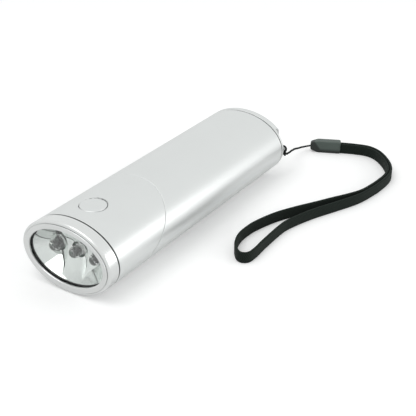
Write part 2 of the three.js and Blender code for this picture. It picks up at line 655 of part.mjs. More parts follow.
// Gearbox plates, cut to the casing's oval, with the bush of the pivot and three pillars
const through = (radius, place, from, to, sides = SMALL_SIDES) =>
  inJoint(drum(radius, from - OVERRUN, to + OVERRUN, sides).translate(place.x, place.y, 0));
const bushOuter = PIVOT_RADIUS + FIT + BUSH_WALL;
const frontPlate = cut(
  common(innerOval(), jointSlab(frontPlateFront, frontPlateBack)),
  through(bushOuter + FIT, drivePlace, frontPlateFront, frontPlateBack, ROUND_SIDES),
  through(PIN_RADIUS + FIT, compound1, frontPlateFront, frontPlateBack),
  through(PIN_RADIUS + FIT, compound2, frontPlateFront, frontPlateBack),
);
node(handle, 'gearbox_front_plate', frontPlate, whitePlastic());
const bush = ringAbout(bushOuter, PIVOT_RADIUS + FIT, frontPlateFront, frontPlateBack);
node(handleAxis, 'pivot_bush', bush, brass());
const backPlate = cut(
  common(innerOval(), jointSlab(backPlateFront, backPlateBack)),
  through(ROTOR_SHAFT_RADIUS + FIT, rotorPlace, backPlateFront, backPlateBack),
  through(PIN_RADIUS + FIT, compound1, backPlateFront, backPlateBack),
  through(PIN_RADIUS + FIT, compound2, backPlateFront, backPlateBack),
);
node(handle, 'gearbox_back_plate', backPlate, whitePlastic());
// Pillars stand just clear of the wheels, the second in the notch between the first two
const besideWheel = (teeth) => tipRadius(teeth, -PINION_SHIFT) + PILLAR_RADIUS + GEAR_STEP;
const besideDrive = besideWheel(DRIVE_TEETH);
const besideFirst = besideWheel(WHEEL_1_TEETH);
const notch = Math.acos((besideDrive ** 2 + firstDistance ** 2 - besideFirst ** 2)
  / (2 * besideDrive * firstDistance));
const pillarPlaces = [
  placeFrom(drivePlace, besideDrive, radians(PILLAR_1_ANGLE)),
  placeFrom(drivePlace, besideDrive, toFirst - notch),
  placeFrom(compound2, besideWheel(WHEEL_2_TEETH), radians(PILLAR_3_ANGLE)),
];
pillarPlaces.forEach((place, index) => {
  const pillar = drum(PILLAR_RADIUS, frontPlateBack + FIT, backPlateFront - FIT, SMALL_SIDES);
  node(handleAxis, `gearbox_pillar_${index + 1}`, pillar, steel(), place.x, place.y, 0);
});

// Joint seal: a ring on the front plate that bears on the bulkhead, inside both casings
const sealOuter = HALF_WIDTH - WALL - SEAL_SETBACK;
const seal = ringAbout(sealOuter, sealOuter - SEAL_WIDTH,
  bulkheadBack + FIT, frontPlateFront - FIT, OVAL_SIDES);
node(handleAxis, 'joint_seal', seal, blackRubber());

// Generator: a rotor shaft with its pinion and magnet, in a coil inside a steel can
const magnetFront = generatorFront + GENERATOR_WALL + MAGNET_END_GAP;
const magnetBack = generatorBack - GENERATOR_WALL - MAGNET_END_GAP;
const rotorShaft = join(
  gear(PINION_TEETH, PINION_SHIFT, phaseRotor, wheel2Front, wheel2Back),
  drum(ROTOR_SHAFT_RADIUS, wheel2Front, generatorBack + GENERATOR_WALL, SMALL_SIDES),
);
node(handleAxis, 'rotor_shaft', rotorShaft, steel(), rotorPlace.x, rotorPlace.y, 0);
const coilInner = GENERATOR_RADIUS - GENERATOR_WALL - FIT - COIL_THICKNESS;
const magnetRadius = coilInner - ROTOR_AIR_GAP;
const magnet = ringAbout(magnetRadius, ROTOR_SHAFT_RADIUS + FIT, magnetFront, magnetBack);
node(handleAxis, 'rotor_magnet', magnet, darkPlastic(), rotorPlace.x, rotorPlace.y, 0);
const coil = ringAbout(coilInner + COIL_THICKNESS, coilInner,
  generatorFront + GENERATOR_WALL + FIT, generatorBack - GENERATOR_WALL - FIT);
node(handleAxis, 'stator_coil', coil, brass(), rotorPlace.x, rotorPlace.y, 0);
const canInner = GENERATOR_RADIUS - GENERATOR_WALL;
const canHole = ROTOR_SHAFT_RADIUS + FIT;
const can = turned([
  [canHole, generatorFront],
  [GENERATOR_RADIUS, generatorFront],
  [GENERATOR_RADIUS, generatorBack],
  [canHole, generatorBack],
  [canHole, generatorBack - GENERATOR_WALL],
  [canInner, generatorBack - GENERATOR_WALL],
  [canInner, generatorFront + GENERATOR_WALL],
  [canHole, generatorFront + GENERATOR_WALL],
  [canHole, generatorFront],
]);
node(handleAxis, 'generator_case', can, steel(), rotorPlace.x, rotorPlace.y, 0);

// Rear casing: the oval tube from the joint plane to the rear seam
const rearCasingBack = REAR_SEAM_Y - SEAM_GAP / 2;
const handleSide = jointSlab(JOINT_GAP / 2, JOINT_GAP / 2 + 2 * BODY_LENGTH);
const rearCasing = common(ovalTube(RIM_Y, rearCasingBack, 0, WALL), handleSide);
node(handle, 'rear_casing', rearCasing, satinSilver());

// End cap: a rounded plate with a spigot, cut away on one side down to a thin flange
const capFront = REAR_SEAM_Y + SEAM_GAP / 2;
const capSpigotFront = REAR_SEAM_Y - SPIGOT_LENGTH;
const capBlank = ovalSolid([
  [capSpigotFront, SPIGOT_INNER],
  [capSpigotFront, SPIGOT_INSET],
  [capFront, SPIGOT_INSET],
  [capFront, 0],
  ...roundStations(REAR_Y, END_CAP_ROUND, -1),
  [REAR_Y, HALF_HEIGHT - SPIGOT_INNER],
  [capFront, HALF_HEIGHT - SPIGOT_INNER],
  [capFront, SPIGOT_INNER],
], true);
const capCore = ovalPlate(capFront, REAR_Y, HALF_HEIGHT - SPIGOT_INNER - WALL);
const cutFace = HALF_WIDTH - CAP_CUT_FROM_SIDE;
const cutFront = capFront + END_CAP_FLANGE;
const sideCut = block(cutFace, BODY_WIDTH, cutFront, REAR_Y + OVERRUN,
  -OVERRUN, BODY_HEIGHT + OVERRUN);
const headSeat = REAR_Y - SCREW_SINK - SCREW_HEAD - FIT;
const screwHoles = [-1, 1].flatMap((side) => {
  const z = HALF_HEIGHT + side * SCREW_SPREAD / 2;
  return [
    alongY(drum(SCREW_RADIUS + FIT, capSpigotFront, REAR_Y + OVERRUN, SMALL_SIDES)).translate(0, 0, z),
    alongY(drum(SCREW_HEAD_RADIUS + FIT, headSeat, REAR_Y + OVERRUN, SMALL_SIDES)).translate(0, 0, z),
  ];
});
const endCap = cut(join(capBlank, capCore), sideCut, ...screwHoles);
node(handle, 'end_cap', endCap, satinSilver());

// Battery: three cells side by side in a cradle whose end walls fill the casing's oval
const cradleBack = capSpigotFront - FIT;
const cradleBackWall = cradleBack - CRADLE_END;
const rearContactBack = cradleBackWall - FIT;
const cellBack = rearContactBack - CONTACT_THICKNESS - FIT - CELL_NUB;
const generatorReach = JOINT_Y + generatorBack * Math.cos(TILT)
  + (GENERATOR_RADIUS - rotorPlace.y) * Math.sin(TILT);
const cradleFront = generatorReach + GENERATOR_TO_BATTERY;
const cradleFrontWall = cradleFront + CRADLE_END;
const frontContactBack = cradleFrontWall + FIT + CONTACT_THICKNESS;
const cellFront = frontContactBack + FIT;
const cellLength = cellBack - cellFront;
const cellZ = HALF_HEIGHT - CELL_DROP;
const cellX = (index) => (index - (CELL_COUNT - 1) / 2) * CELL_PITCH;
const cellShape = () => alongY(turned([
  [0, 0],
  [CELL_RADIUS, 0],
  [CELL_RADIUS, cellLength],
  [CELL_NUB_RADIUS, cellLength],
  [CELL_NUB_RADIUS, cellLength + CELL_NUB],
  [0, cellLength + CELL_NUB],
], SMALL_SIDES + 4));
for (let index = 0; index < CELL_COUNT; index += 1) {
  const cell = cellShape().translate(cellX(index), cellFront, cellZ);
  node(handle, `battery_cell_${index + 1}`, cell, brightSilver());
}
const trayInner = cellX(CELL_COUNT - 1) + CELL_RADIUS + FIT;
const trayOuter = trayInner + CRADLE_WALL;
const trayFloorTop = cellZ - CELL_RADIUS - FIT;
const trayFloor = block(-trayOuter, trayOuter, cradleFront, cradleBack,
  trayFloorTop - CRADLE_WALL, trayFloorTop);
const traySide = (side) => block(
  Math.min(side * trayInner, side * trayOuter), Math.max(side * trayInner, side * trayOuter),
  cradleFront, cradleBack, trayFloorTop - CRADLE_WALL, cellZ);
const cradleScrewHoles = [-1, 1].map((side) =>
  alongY(drum(SCREW_RADIUS + FIT, cradleBackWall - OVERRUN, cradleBack + OVERRUN, SMALL_SIDES))
    .translate(0, 0, HALF_HEIGHT + side * SCREW_SPREAD / 2));
const cradle = cut(join(
  ovalPlate(cradleFront, cradleFrontWall, SPIGOT_INSET),
  ovalPlate(cradleBackWall, cradleBack, SPIGOT_INSET),
  trayFloor,
  traySide(-1),
  traySide(1),
), ...cradleScrewHoles);
node(handle, 'battery_cradle', cradle, darkPlastic());
const contactHalf = cellX(CELL_COUNT - 1) + CELL_RADIUS - FIT;
const contact = (back) => block(-contactHalf, contactHalf, back - CONTACT_THICKNESS, back,
  cellZ - CONTACT_HEIGHT / 2, cellZ + CONTACT_HEIGHT / 2);
node(handle, 'battery_contact_front', contact(frontContactBack), brass());
node(handle, 'battery_contact_rear', contact(rearContactBack), brass());

// Charge board between the cradle's end walls, over the cells, with its capacitor on top
const boardBottom = cellZ + CELL_RADIUS + CRADLE_WALL;
const boardTop = boardBottom + CHARGE_BOARD_THICKNESS;
const chargeBoard = block(-CHARGE_BOARD_WIDTH / 2, CHARGE_BOARD_WIDTH / 2,
  cradleFrontWall + FIT, cradleBackWall - FIT, boardBottom, boardTop);
node(handle, 'charge_board', chargeBoard, greenBoard());
const capacitor = alongY(drum(CAPACITOR_RADIUS, 0, CAPACITOR_LENGTH, SMALL_SIDES))
  .translate(0, cradleFrontWall + CAPACITOR_LENGTH, boardTop + FIT + CAPACITOR_RADIUS);
node(handle, 'storage_capacitor', capacitor, darkPlastic());

// Screws that draw the end cap onto the cradle
const screwShape = () => {
  const seat = headSeat + FIT;
  const tip = cradleBackWall;
  return alongY(turned([
    [0, tip],
    [SCREW_RADIUS, tip],
    [SCREW_RADIUS, seat],
    [SCREW_HEAD_RADIUS, seat],
    [SCREW_HEAD_RADIUS, seat + SCREW_HEAD],
    [0, seat + SCREW_HEAD],
  ], SMALL_SIDES));
};
[-1, 1].forEach((side, index) => {
  const z = HALF_HEIGHT + side * SCREW_SPREAD / 2;
  node(handle, `end_cap_screw_${index + 1}`, screwShape(), steel(), 0, 0, z);
});

// Eyelet: a small loop that lies level in the cut-away, with its outer bar along Y
const eyeletFront = cutFront + FIT;
const eyeletBack = REAR_Y - FIT / 2;
const eyeletInnerX = cutFace + FIT;
const eyeletOuterX = HALF_WIDTH - FIT;
const eyeletBottom = HALF_HEIGHT - EYELET_THICKNESS / 2;
const eyeletTop = eyeletBottom + EYELET_THICKNESS;
const eyelet = cut(
  block(eyeletInnerX, eyeletOuterX, eyeletFront, eyeletBack, eyeletBottom, eyeletTop),
  block(eyeletInnerX + EYELET_ARM, eyeletOuterX - EYELET_BAR, eyeletFront + EYELET_ARM,
    eyeletBack - EYELET_ARM, eyeletBottom - OVERRUN, eyeletTop + OVERRUN),
);
node(handle, 'strap_eyelet', eyelet, brightSilver());

// Hitch: a turn of cord round the eyelet's outer bar, with its knot below
const barX = eyeletOuterX - EYELET_BAR / 2;
const barY = (eyeletFront + eyeletBack) / 2;
const hitchRadius = Math.hypot(EYELET_BAR, EYELET_THICKNESS) / 2 + FIT + CORD_DIAMETER / 2;
const turn = turned(circleProfile(hitchRadius, CORD_DIAMETER / 2), SMALL_SIDES + 4)
  .rotateX(Math.PI / 2)
  .translate(barX, barY, HALF_HEIGHT);
const knotX = barX + hitchRadius / 2;
const knotZ = HALF_HEIGHT - KNOT_DROP;
const knot = new THREE.SphereGeometry(KNOT_RADIUS, SMALL_SIDES, SMALL_SIDES / 2)
  .translate(knotX, barY, knotZ);
node(handle, 'strap_hitch', join(turn, knot), blackCord());

// Thin cord, from just outside the knot down to the sleeve on the ground
const CORD_ROUTE = [
  [24.3, 73.1, 13.3], [23.8, 75.2, 12.6], [23.4, 76.8, 11.9], [22.7, 79.1, 11.0],
  [22.0, 81.6, 10.1], [21.2, 84.3, 9.2], [20.5, 87.1, 8.4], [19.5, 90.1, 7.6],
  [18.8, 92.8, 6.9], [18.2, 95.4, 6.2], [17.8, 97.9, 5.6], [17.6, 100.4, 5.0],
  [17.6, 102.9, 4.4], [17.9, 105.4, 3.9], [18.5, 107.7, 3.4], [19.4, 109.7, 3.1],
];

// Band, on edge on the ground: out of the sleeve, round the loop and back beside itself
const BAND_ROUTE = [
  [34.9, 117.0], [41.7, 119.6], [49.0, 121.1], [55.0, 119.1], [61.9, 113.2],
  [66.6, 107.2], [69.3, 101.7], [70.3, 96.3], [70.2, 90.2], [69.4, 82.4],
  [67.6, 73.4], [63.3, 64.7], [60.0, 59.3], [54.3, 49.3], [48.5, 39.5],
  [43.3, 29.0], [39.6, 16.4], [38.9, 9.0], [39.2, 3.4], [40.7, -1.9],
  [43.5, -7.1], [47.7, -10.9], [51.1, -9.8], [52.0, -5.1], [51.5, 4.0],
  [51.3, 22.2], [52.8, 30.0], [57.1, 42.5], [62.3, 53.8], [68.7, 68.7],
  [71.4, 82.3], [72.0, 90.0], [72.0, 96.4], [70.8, 102.5], [67.9, 108.4],
  [63.1, 114.5], [55.9, 120.7], [48.8, 123.0], [40.9, 121.3], [34.1, 118.7],
];

const sectionSides = (width, thickness) => {
  const corner = Math.min(width, thickness) / 4;
  const [halfWidth, halfThickness] = [width / 2, thickness / 2];
  return new THREE.Shape([
    new THREE.Vector2(halfWidth, corner - halfThickness),
    new THREE.Vector2(halfWidth, halfThickness - corner),
    new THREE.Vector2(halfWidth - corner, halfThickness),
    new THREE.Vector2(corner - halfWidth, halfThickness),
    new THREE.Vector2(-halfWidth, halfThickness - corner),
    new THREE.Vector2(-halfWidth, corner - halfThickness),
    new THREE.Vector2(corner - halfWidth, -halfThickness),
    new THREE.Vector2(halfWidth - corner, -halfThickness),
  ]);
};
const tubeAlong = (points, width, thickness, steps) => {
  const path = new THREE.CatmullRomCurve3(points.map((point) => new THREE.Vector3(...point)));
  const section = sectionSides(width, thickness);
  return new THREE.ExtrudeGeometry(section, { steps, extrudePath: path, bevelEnabled: false });
};
const thinCord = tubeAlong(CORD_ROUTE, CORD_DIAMETER, CORD_DIAMETER, CORD_STEPS);
node(handle, 'strap_cord', thinCord, blackCord());
const bandPoints = BAND_ROUTE.map(([x, y]) => [x, y, BAND_WIDTH / 2]);
node(handle, 'wrist_band', tubeAlong(bandPoints, BAND_WIDTH, BAND_THICKNESS, BAND_STEPS), blackBand());

// Sleeve: a moulded clamp that tapers towards the cord, lying on its narrow side
const [cordEndX, cordEndY] = CORD_ROUTE[CORD_ROUTE.length - 1];
const bandStart = new THREE.Vector2(...BAND_ROUTE[0]);
const bandEnd = new THREE.Vector2(...BAND_ROUTE[BAND_ROUTE.length - 1]);
const bandMiddle = bandStart.clone().add(bandEnd).multiplyScalar(0.5);
const sleeveTurn = Math.atan2(bandMiddle.y - cordEndY, bandMiddle.x - cordEndX);
const mouthHalf = SLEEVE_HEIGHT * SLEEVE_MOUTH_SHARE / 2;
const sleeveMiddle = SLEEVE_HEIGHT / 2;
const sleeveSide = new THREE.Shape([
  new THREE.Vector2(-SLEEVE_LENGTH, sleeveMiddle - mouthHalf),
  new THREE.Vector2(-SLEEVE_LENGTH + SLEEVE_TAPER, 0),
  new THREE.Vector2(0, 0),
  new THREE.Vector2(0, SLEEVE_HEIGHT),
  new THREE.Vector2(-SLEEVE_LENGTH + SLEEVE_TAPER, SLEEVE_HEIGHT),
  new THREE.Vector2(-SLEEVE_LENGTH, sleeveMiddle + mouthHalf),
]);
const sleeve = new THREE.ExtrudeGeometry(sleeveSide, { depth: SLEEVE_THICKNESS, bevelEnabled: false })
  .rotateX(Math.PI / 2)
  .translate(-FIT, SLEEVE_THICKNESS / 2, 0);
const sleeveMesh = node(handle, 'strap_sleeve', sleeve, blackRubber(), bandMiddle.x, bandMiddle.y, 0);
sleeveMesh.rotation.z = sleeveTurn;

export default torch;
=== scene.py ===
import json
import math

import bmesh
import bpy
from mathutils import Matrix, Vector
from mathutils.geometry import interpolate_bezier


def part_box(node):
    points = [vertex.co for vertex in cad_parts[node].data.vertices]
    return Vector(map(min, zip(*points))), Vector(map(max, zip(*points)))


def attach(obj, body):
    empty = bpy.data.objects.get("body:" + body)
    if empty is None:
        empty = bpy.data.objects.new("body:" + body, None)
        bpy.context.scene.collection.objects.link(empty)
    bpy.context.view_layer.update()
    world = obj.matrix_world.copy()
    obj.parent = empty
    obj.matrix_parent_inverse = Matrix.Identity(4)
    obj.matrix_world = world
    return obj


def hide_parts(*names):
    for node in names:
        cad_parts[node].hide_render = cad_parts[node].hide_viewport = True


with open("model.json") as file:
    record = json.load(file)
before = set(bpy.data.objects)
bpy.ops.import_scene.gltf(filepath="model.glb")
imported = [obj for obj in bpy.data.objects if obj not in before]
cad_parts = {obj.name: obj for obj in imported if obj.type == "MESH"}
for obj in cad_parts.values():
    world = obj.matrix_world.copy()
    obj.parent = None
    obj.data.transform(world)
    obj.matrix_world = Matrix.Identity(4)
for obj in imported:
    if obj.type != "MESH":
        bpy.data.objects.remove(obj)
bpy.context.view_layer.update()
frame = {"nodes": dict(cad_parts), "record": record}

# Every length below is in millimetres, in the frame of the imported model: y runs from the lens to the end cap.
MM = 0.001
MERGE_DISTANCE = 1e-4
AT_PLACE = 1e-3
ON_PLANE = 1e-5
UP = Vector((0, 0, 1))
REARWARD = Vector((0, 1, 0))
FORWARD = Vector((0, -1, 0))

HALF_WIDTH = 24
HALF_HEIGHT = 16.75
RIM_Y = -73.5
REAR_Y = 73.5
WALL = 1.6
SPIGOT_INSET = 1.9
SPIGOT_INNER = 3.2
OVAL_SIDES = 192
JOINT_LOW_FROM_RIM = 18
JOINT_HALF_GAP = 0.12
JOINT_EDGE_ROUND = 0.14
TILT = math.acos(HALF_HEIGHT / HALF_WIDTH)
JOINT = Vector((0, RIM_Y + JOINT_LOW_FROM_RIM + HALF_HEIGHT * math.tan(TILT), HALF_HEIGHT))
TWIST_AXIS = Vector((0, math.cos(TILT), -math.sin(TILT)))
BUTTON_FROM_RIM = 20.4
BUTTON_CENTRE = Vector((0, RIM_Y + BUTTON_FROM_RIM, 0))
SLEEVE_HEIGHT = 6.7

# Paint doesn't reach surfaces that lie further in than PAINT_EDGE and short of a given y. These two values of
# that y leave nothing bare, and everything inside bare.
# Those bare inner surfaces are near-black: partly their own colour and partly painted shade that darkens the
# seam grooves.
PAINT_EDGE = 0.24
NOTHING_BARE = -100
INSIDE_BARE = 100


# Camera, in metres

camera = bpy.data.objects.new("camera", bpy.data.cameras.new("camera"))
bpy.context.scene.collection.objects.link(camera)
bpy.context.scene.camera = camera
camera.data.lens = 81.56
camera.data.sensor_width = 36
camera.data.clip_end = 20
camera_back = Vector((0.4821, -0.7339, 0.4785)).normalized()
camera.location = (0.23362, -0.32011, 0.22325)
camera.rotation_mode = "QUATERNION"
camera.rotation_quaternion = (-camera_back).to_track_quat("-Z", "Y")


# Shader values and finishes

# Near-black for bare inner plastic: partly its own colour, partly painted shade in the seam grooves.
BARE_AND_SEAM_SHADE_COLOUR = (0.03, 0.032, 0.032, 1)


class Shade:
    """A value in a finish's nodes. Arithmetic on it adds Math nodes."""

    def __init__(self, finish, socket):
        self.finish = finish
        self.socket = socket

    def math(self, operation, *others):
        return self.finish.node("ShaderNodeMath", {"operation": operation}, dict(enumerate((self, *others))))

    def __add__(self, other):
        return self.math("ADD", other)

    def __mul__(self, other):
        return self.math("MULTIPLY", other)

    def __sub__(self, other):
        return self.math("SUBTRACT", other)

    def __rsub__(self, other):
        return self * -1 + other

    __radd__ = __add__
    __rmul__ = __mul__


def set_stops(ramp, stops):
    """Gives a colour ramp these stops (position, colour) in place of its first two."""
    ramp.elements.remove(ramp.elements[1])
    for index, (position, colour) in enumerate(stops):
        element = ramp.elements.new(position) if index else ramp.elements[0]
        element.position = position
        element.color = (*colour, 1)


class Nodes:
    """The shader nodes of a material or of the world."""

    def __init__(self, tree):
        self.tree = tree

    def node(self, kind, settings=None, inputs=None, output=0):
        made = self.tree.nodes.new(kind)
        for name, value in (settings or {}).items():
            if name == "stops":
                set_stops(made.color_ramp, value)
            else:
                setattr(made, name, value)
        for socket, value in (inputs or {}).items():
            if isinstance(value, Shade):
                self.tree.links.new(value.socket, made.inputs[socket])
            else:
                made.inputs[socket].default_value = value
        return Shade(self, made.outputs[output])


class Finish(Nodes):
    """A procedural material round one Principled BSDF, whose constants are set by name."""

    def __init__(self, name, **constants):
        self.material = bpy.data.materials.new(name)
        self.material.use_nodes = True
        super().__init__(self.material.node_tree)
        self.surface = self.tree.nodes["Principled BSDF"]
        for word, value in constants.items():
            self.surface.inputs[word.replace("_", " ")].default_value = value

    def drive(self, word, shade):
        self.tree.links.new(shade.socket, self.surface.inputs[word])

    def places(self):
        return self.node("ShaderNodeTexCoord", output="Object")

    def stretched(self, scale):
        return self.node("ShaderNodeMapping", inputs={"Vector": self.places(), "Scale": scale})

    def noise(self, per_mm, detail=2.0, where=None):
        inputs = {"Vector": where or self.places(), "Scale": per_mm / MM, "Detail": detail}
        return self.node("ShaderNodeTexNoise", inputs=inputs)

    def attribute(self, name):
        return self.node("ShaderNodeAttribute", {"attribute_name": name}, output="Fac")

    def ramp(self, factor, *stops):
        return self.node("ShaderNodeValToRGB", {"stops": stops}, {"Fac": factor})

    def mix(self, inputs):
        """A mix of two colours: A where the factor is 0, B where it is 1."""
        sockets = {"Factor": 0, "A": 6, "B": 7}
        chosen = {sockets[word]: value for word, value in inputs.items()}
        return self.node("ShaderNodeMix", {"data_type": "RGBA"}, chosen, output=2)

    def tint(self, factor, low, high):
        self.drive("Base Color", self.ramp(factor, (0.3, low), (0.7, high)))

    def rough(self, factor, low, high):
        self.drive("Roughness", factor * (high - low) + low)

    def bump(self, height, depth_mm, strength=1.0):
        inputs = {"Height": height, "Distance": depth_mm * MM, "Strength": strength}
        self.drive("Normal", self.node("ShaderNodeBump", inputs=inputs))


def scaled(colour, share):
    return tuple(part * share for part in colour)


def silver_paint(name, colour, roughness, metallic):
    """Silver paint with fine flakes, and dark bare plastic on the inner surfaces that the attribute marks. That
    plastic is near-black partly as painted shade in the seam grooves.
    """
    finish = Finish(name, Coat_Roughness=0.12)
    flakes = finish.noise(9, 1)
    clouds = finish.noise(0.035, 3)
    bare_with_seam_shade = finish.attribute("bare_with_seam_shade")
    painted = 1 - bare_with_seam_shade
    paint = finish.ramp(flakes * 0.55 + clouds * 0.45, (0.3, scaled(colour, 0.965)), (0.7, colour))
    finish.drive("Base Color", finish.mix({"Factor": bare_with_seam_shade, "A": paint, "B": BARE_AND_SEAM_SHADE_COLOUR}))
    finish.drive("Metallic", painted * metallic)
    finish.drive("Coat Weight", painted * 0.15)
    finish.rough(clouds * 0.6 + flakes * 0.4 + bare_with_seam_shade * 3, roughness - 0.03, roughness + 0.04)
    finish.bump(flakes, 0.004, 0.35)
    return finish.material


def plated(name, colour, roughness):
    finish = Finish(name, Metallic=1.0)
    ripples = finish.noise(0.16, 2)
    finish.tint(ripples, scaled(colour, 0.97), colour)
    finish.rough(finish.noise(1.5, 3), roughness, roughness + 0.03)
    finish.bump(ripples, 0.01, 0.12)
    return finish.material


def moulded(name, colour, roughness, grain_mm=0.012):
    finish = Finish(name, Specular_IOR_Level=0.4)
    grain = finish.noise(4.5, 3)
    clouds = finish.noise(0.08, 2)
    finish.tint(clouds * 0.6 + grain * 0.4, scaled(colour, 0.85), colour)
    finish.rough(grain, roughness - 0.05, roughness + 0.07)
    finish.bump(grain, grain_mm, 0.5)
    return finish.material


def clamp_plastic_with_painted_shade(name, side, edge):
    """Moulded plastic, satin, with painted shade: from its lit colour, side, it darkens to a shade colour,
    edge, along its lower edge and round its mouth.
    """
    finish = Finish(name, Specular_IOR_Level=0.4)
    grain = finish.noise(4.5, 3)
    height = finish.node("ShaderNodeSeparateXYZ", inputs={"Vector": finish.places()}, output="Z")
    dark_from, dark_per_mm = 11, 0.2
    mouth_shade = ((finish.attribute("along") - dark_from) * dark_per_mm).math("MAXIMUM", 0.0)
    low_shade = 1.13 - height * (1 / SLEEVE_HEIGHT / MM)
    shade = low_shade + grain * 0.04 + mouth_shade
    # Painted shade: the colour ramps from the lit colour to the shade colour low down and towards the mouth.
    finish.drive("Base Color", finish.ramp(shade, (0.74, side), (0.96, edge)))
    finish.rough(grain, 0.36, 0.48)
    finish.bump(grain, 0.015, 0.5)
    return finish.material


def worked_metal(name, colour, roughness, lay=(1, 14, 14)):
    finish = Finish(name, Metallic=1.0)
    lines = finish.noise(0.9, 4, finish.stretched(lay))
    finish.tint(lines, scaled(colour, 0.82), colour)
    finish.rough(lines, roughness - 0.07, roughness + 0.1)
    finish.bump(lines, 0.006, 0.6)
    return finish.material


def circuit_board(name):
    finish = Finish(name, Coat_Weight=0.4, Coat_Roughness=0.15)
    inputs = {"Vector": finish.places(), "Scale": 0.22 / MM, "Mortar Size": 0.05, "Mortar Smooth": 0.4}
    tracks = finish.node("ShaderNodeTexBrick", inputs=inputs, output="Fac")
    finish.drive("Base Color", finish.ramp(tracks, (0.2, (0.010, 0.085, 0.045)), (0.8, (0.03, 0.19, 0.10))))
    finish.rough(finish.noise(1.2, 2), 0.35, 0.5)
    finish.bump(tracks, 0.03, 0.7)
    return finish.material


def clear_plate(name):
    finish = Finish(name, Base_Color=(0.985, 0.995, 0.99, 1), Transmission_Weight=1.0, IOR=1.46)
    finish.rough(finish.noise(0.4, 3), 0.0, 0.02)
    finish.bump(finish.noise(0.06, 1), 0.004, 0.1)
    return finish.material


def lamp_body(name):
    finish = Finish(name, Base_Color=(0.93, 0.95, 0.93, 1), Transmission_Weight=0.9, IOR=1.5)
    finish.rough(finish.noise(0.7, 2), 0.02, 0.07)
    finish.bump(finish.noise(0.25, 1), 0.01, 0.15)
    return finish.material


def woven_band(name):
    """Fine ribs that slant from both edges of the tape to its middle."""
    finish = Finish(name, Specular_IOR_Level=0.14, Sheen_Weight=0.03, Sheen_Roughness=0.5)
    along = finish.attribute("along")
    across = finish.attribute("across")
    slant = across.math("ABSOLUTE") * 0.55
    ribs = ((along * 1.25 + slant) * math.tau).math("SINE") * 0.5 + 0.5
    yarns = (across * 26).math("SINE") * 0.5 + 0.5
    fuzz = finish.noise(6, 3)
    height = ribs * 0.55 + yarns * 0.25 + fuzz * 0.2
    # Painted shade: the hollows of the weave are coloured darker than its crests.
    shaded_hollow, crest = (0.003, 0.005, 0.004), (0.015, 0.023, 0.018)
    finish.drive("Base Color", finish.ramp(height, (0.15, shaded_hollow), (0.85, crest)))
    finish.rough(fuzz, 0.7, 0.9)
    finish.bump(height, 0.09, 0.8)
    return finish.material


def twisted_cord(name):
    """Fine fibres that wind round two strands."""
    finish = Finish(name, Specular_IOR_Level=0.15, Sheen_Weight=0.03, Sheen_Roughness=0.5)
    along = finish.attribute("along")
    around = finish.attribute("across")
    fibres = ((along * 2.2 + around * 1.6) * math.tau).math("SINE") * 0.5 + 0.5
    fuzz = finish.noise(8, 3)
    height = fibres * 0.6 + fuzz * 0.4
    # Painted shade: the hollows between the fibres are coloured darker than their crests.
    shaded_hollow, crest = (0.004, 0.005, 0.005), (0.018, 0.021, 0.020)
    finish.drive("Base Color", finish.ramp(height, (0.2, shaded_hollow), (0.8, crest)))
    finish.rough(fuzz, 0.65, 0.9)
    finish.bump(height, 0.04, 0.8)
    return finish.material


FINISHES = {
    "satin_silver": silver_paint("satin_silver", (0.735, 0.75, 0.745), 0.36, 0.62),
    "bright_silver": silver_paint("bright_silver", (0.76, 0.77, 0.765), 0.24, 0.8),
    "reflector_chrome": plated("reflector_chrome", (0.76, 0.785, 0.77), 0.05),
    "clear_window": clear_plate("clear_window"),
    "lamp_epoxy": lamp_body("lamp_epoxy"),
    "black_rubber": moulded("black_rubber", (0.012, 0.013, 0.013), 0.7, 0.02),
    "white_plastic": moulded("white_plastic", (0.80, 0.80, 0.77), 0.45),
    "dark_plastic": moulded("dark_plastic", (0.03, 0.032, 0.034), 0.45),
    "steel": worked_metal("steel", (0.62, 0.63, 0.64), 0.28),
    "brass": worked_metal("brass", (0.78, 0.57, 0.25), 0.28),
    "circuit_board": circuit_board("circuit_board"),
    "cell_jacket": worked_metal("cell_jacket", (0.72, 0.73, 0.74), 0.33, (14, 1, 14)),
    "black_cord": twisted_cord("black_cord"),
    "black_band": woven_band("black_band"),
    # The sleeve's lit colour, then its painted shade colour.
    "black_sleeve": clamp_plastic_with_painted_shade("black_sleeve", (0.072, 0.094, 0.083), (0.016, 0.020, 0.018)),
}
for entry in frame["record"]["subparts"]:
    node = frame["nodes"][entry["node"]]
    node.data.materials.clear()
    node.data.materials.append(FINISHES[entry["material_slot"]])


# Shapes

def ordered_mesh(shape, name):
    """A mesh of a bmesh, with its points and faces sorted by place, so that each run gives the same one."""
    bmesh.ops.remove_doubles(shape, verts=shape.verts, dist=MERGE_DISTANCE)
    bmesh.ops.recalc_face_normals(shape, faces=shape.faces)
    verts = sorted(shape.verts, key=lambda vert: tuple(round(part, 3) for part in vert.co))
    number = {vert: index for index, vert in enumerate(verts)}
    faces = []
    for face in shape.faces:
        corners = [number[vert] for vert in face.verts]
        first = corners.index(min(corners))
        faces.append(corners[first:] + corners[:first])
    mesh = bpy.data.meshes.new(name)
    mesh.from_pydata([vert.co for vert in verts], [], sorted(faces))
    for word, layer in shape.verts.layers.float.items():
        values = [vert[layer] for vert in verts]
        mesh.attributes.new(word, "FLOAT", "POINT").data.foreach_set("value", values)
    shape.free()
    return mesh


def rough_piece(shape, name="rough_piece"):
    """A bare object of a bmesh in millimetres, still to be cut, used as a cutter or finished."""
    piece = bpy.data.objects.new(name, ordered_mesh(shape, name))
    bpy.context.scene.collection.objects.link(piece)
    return piece


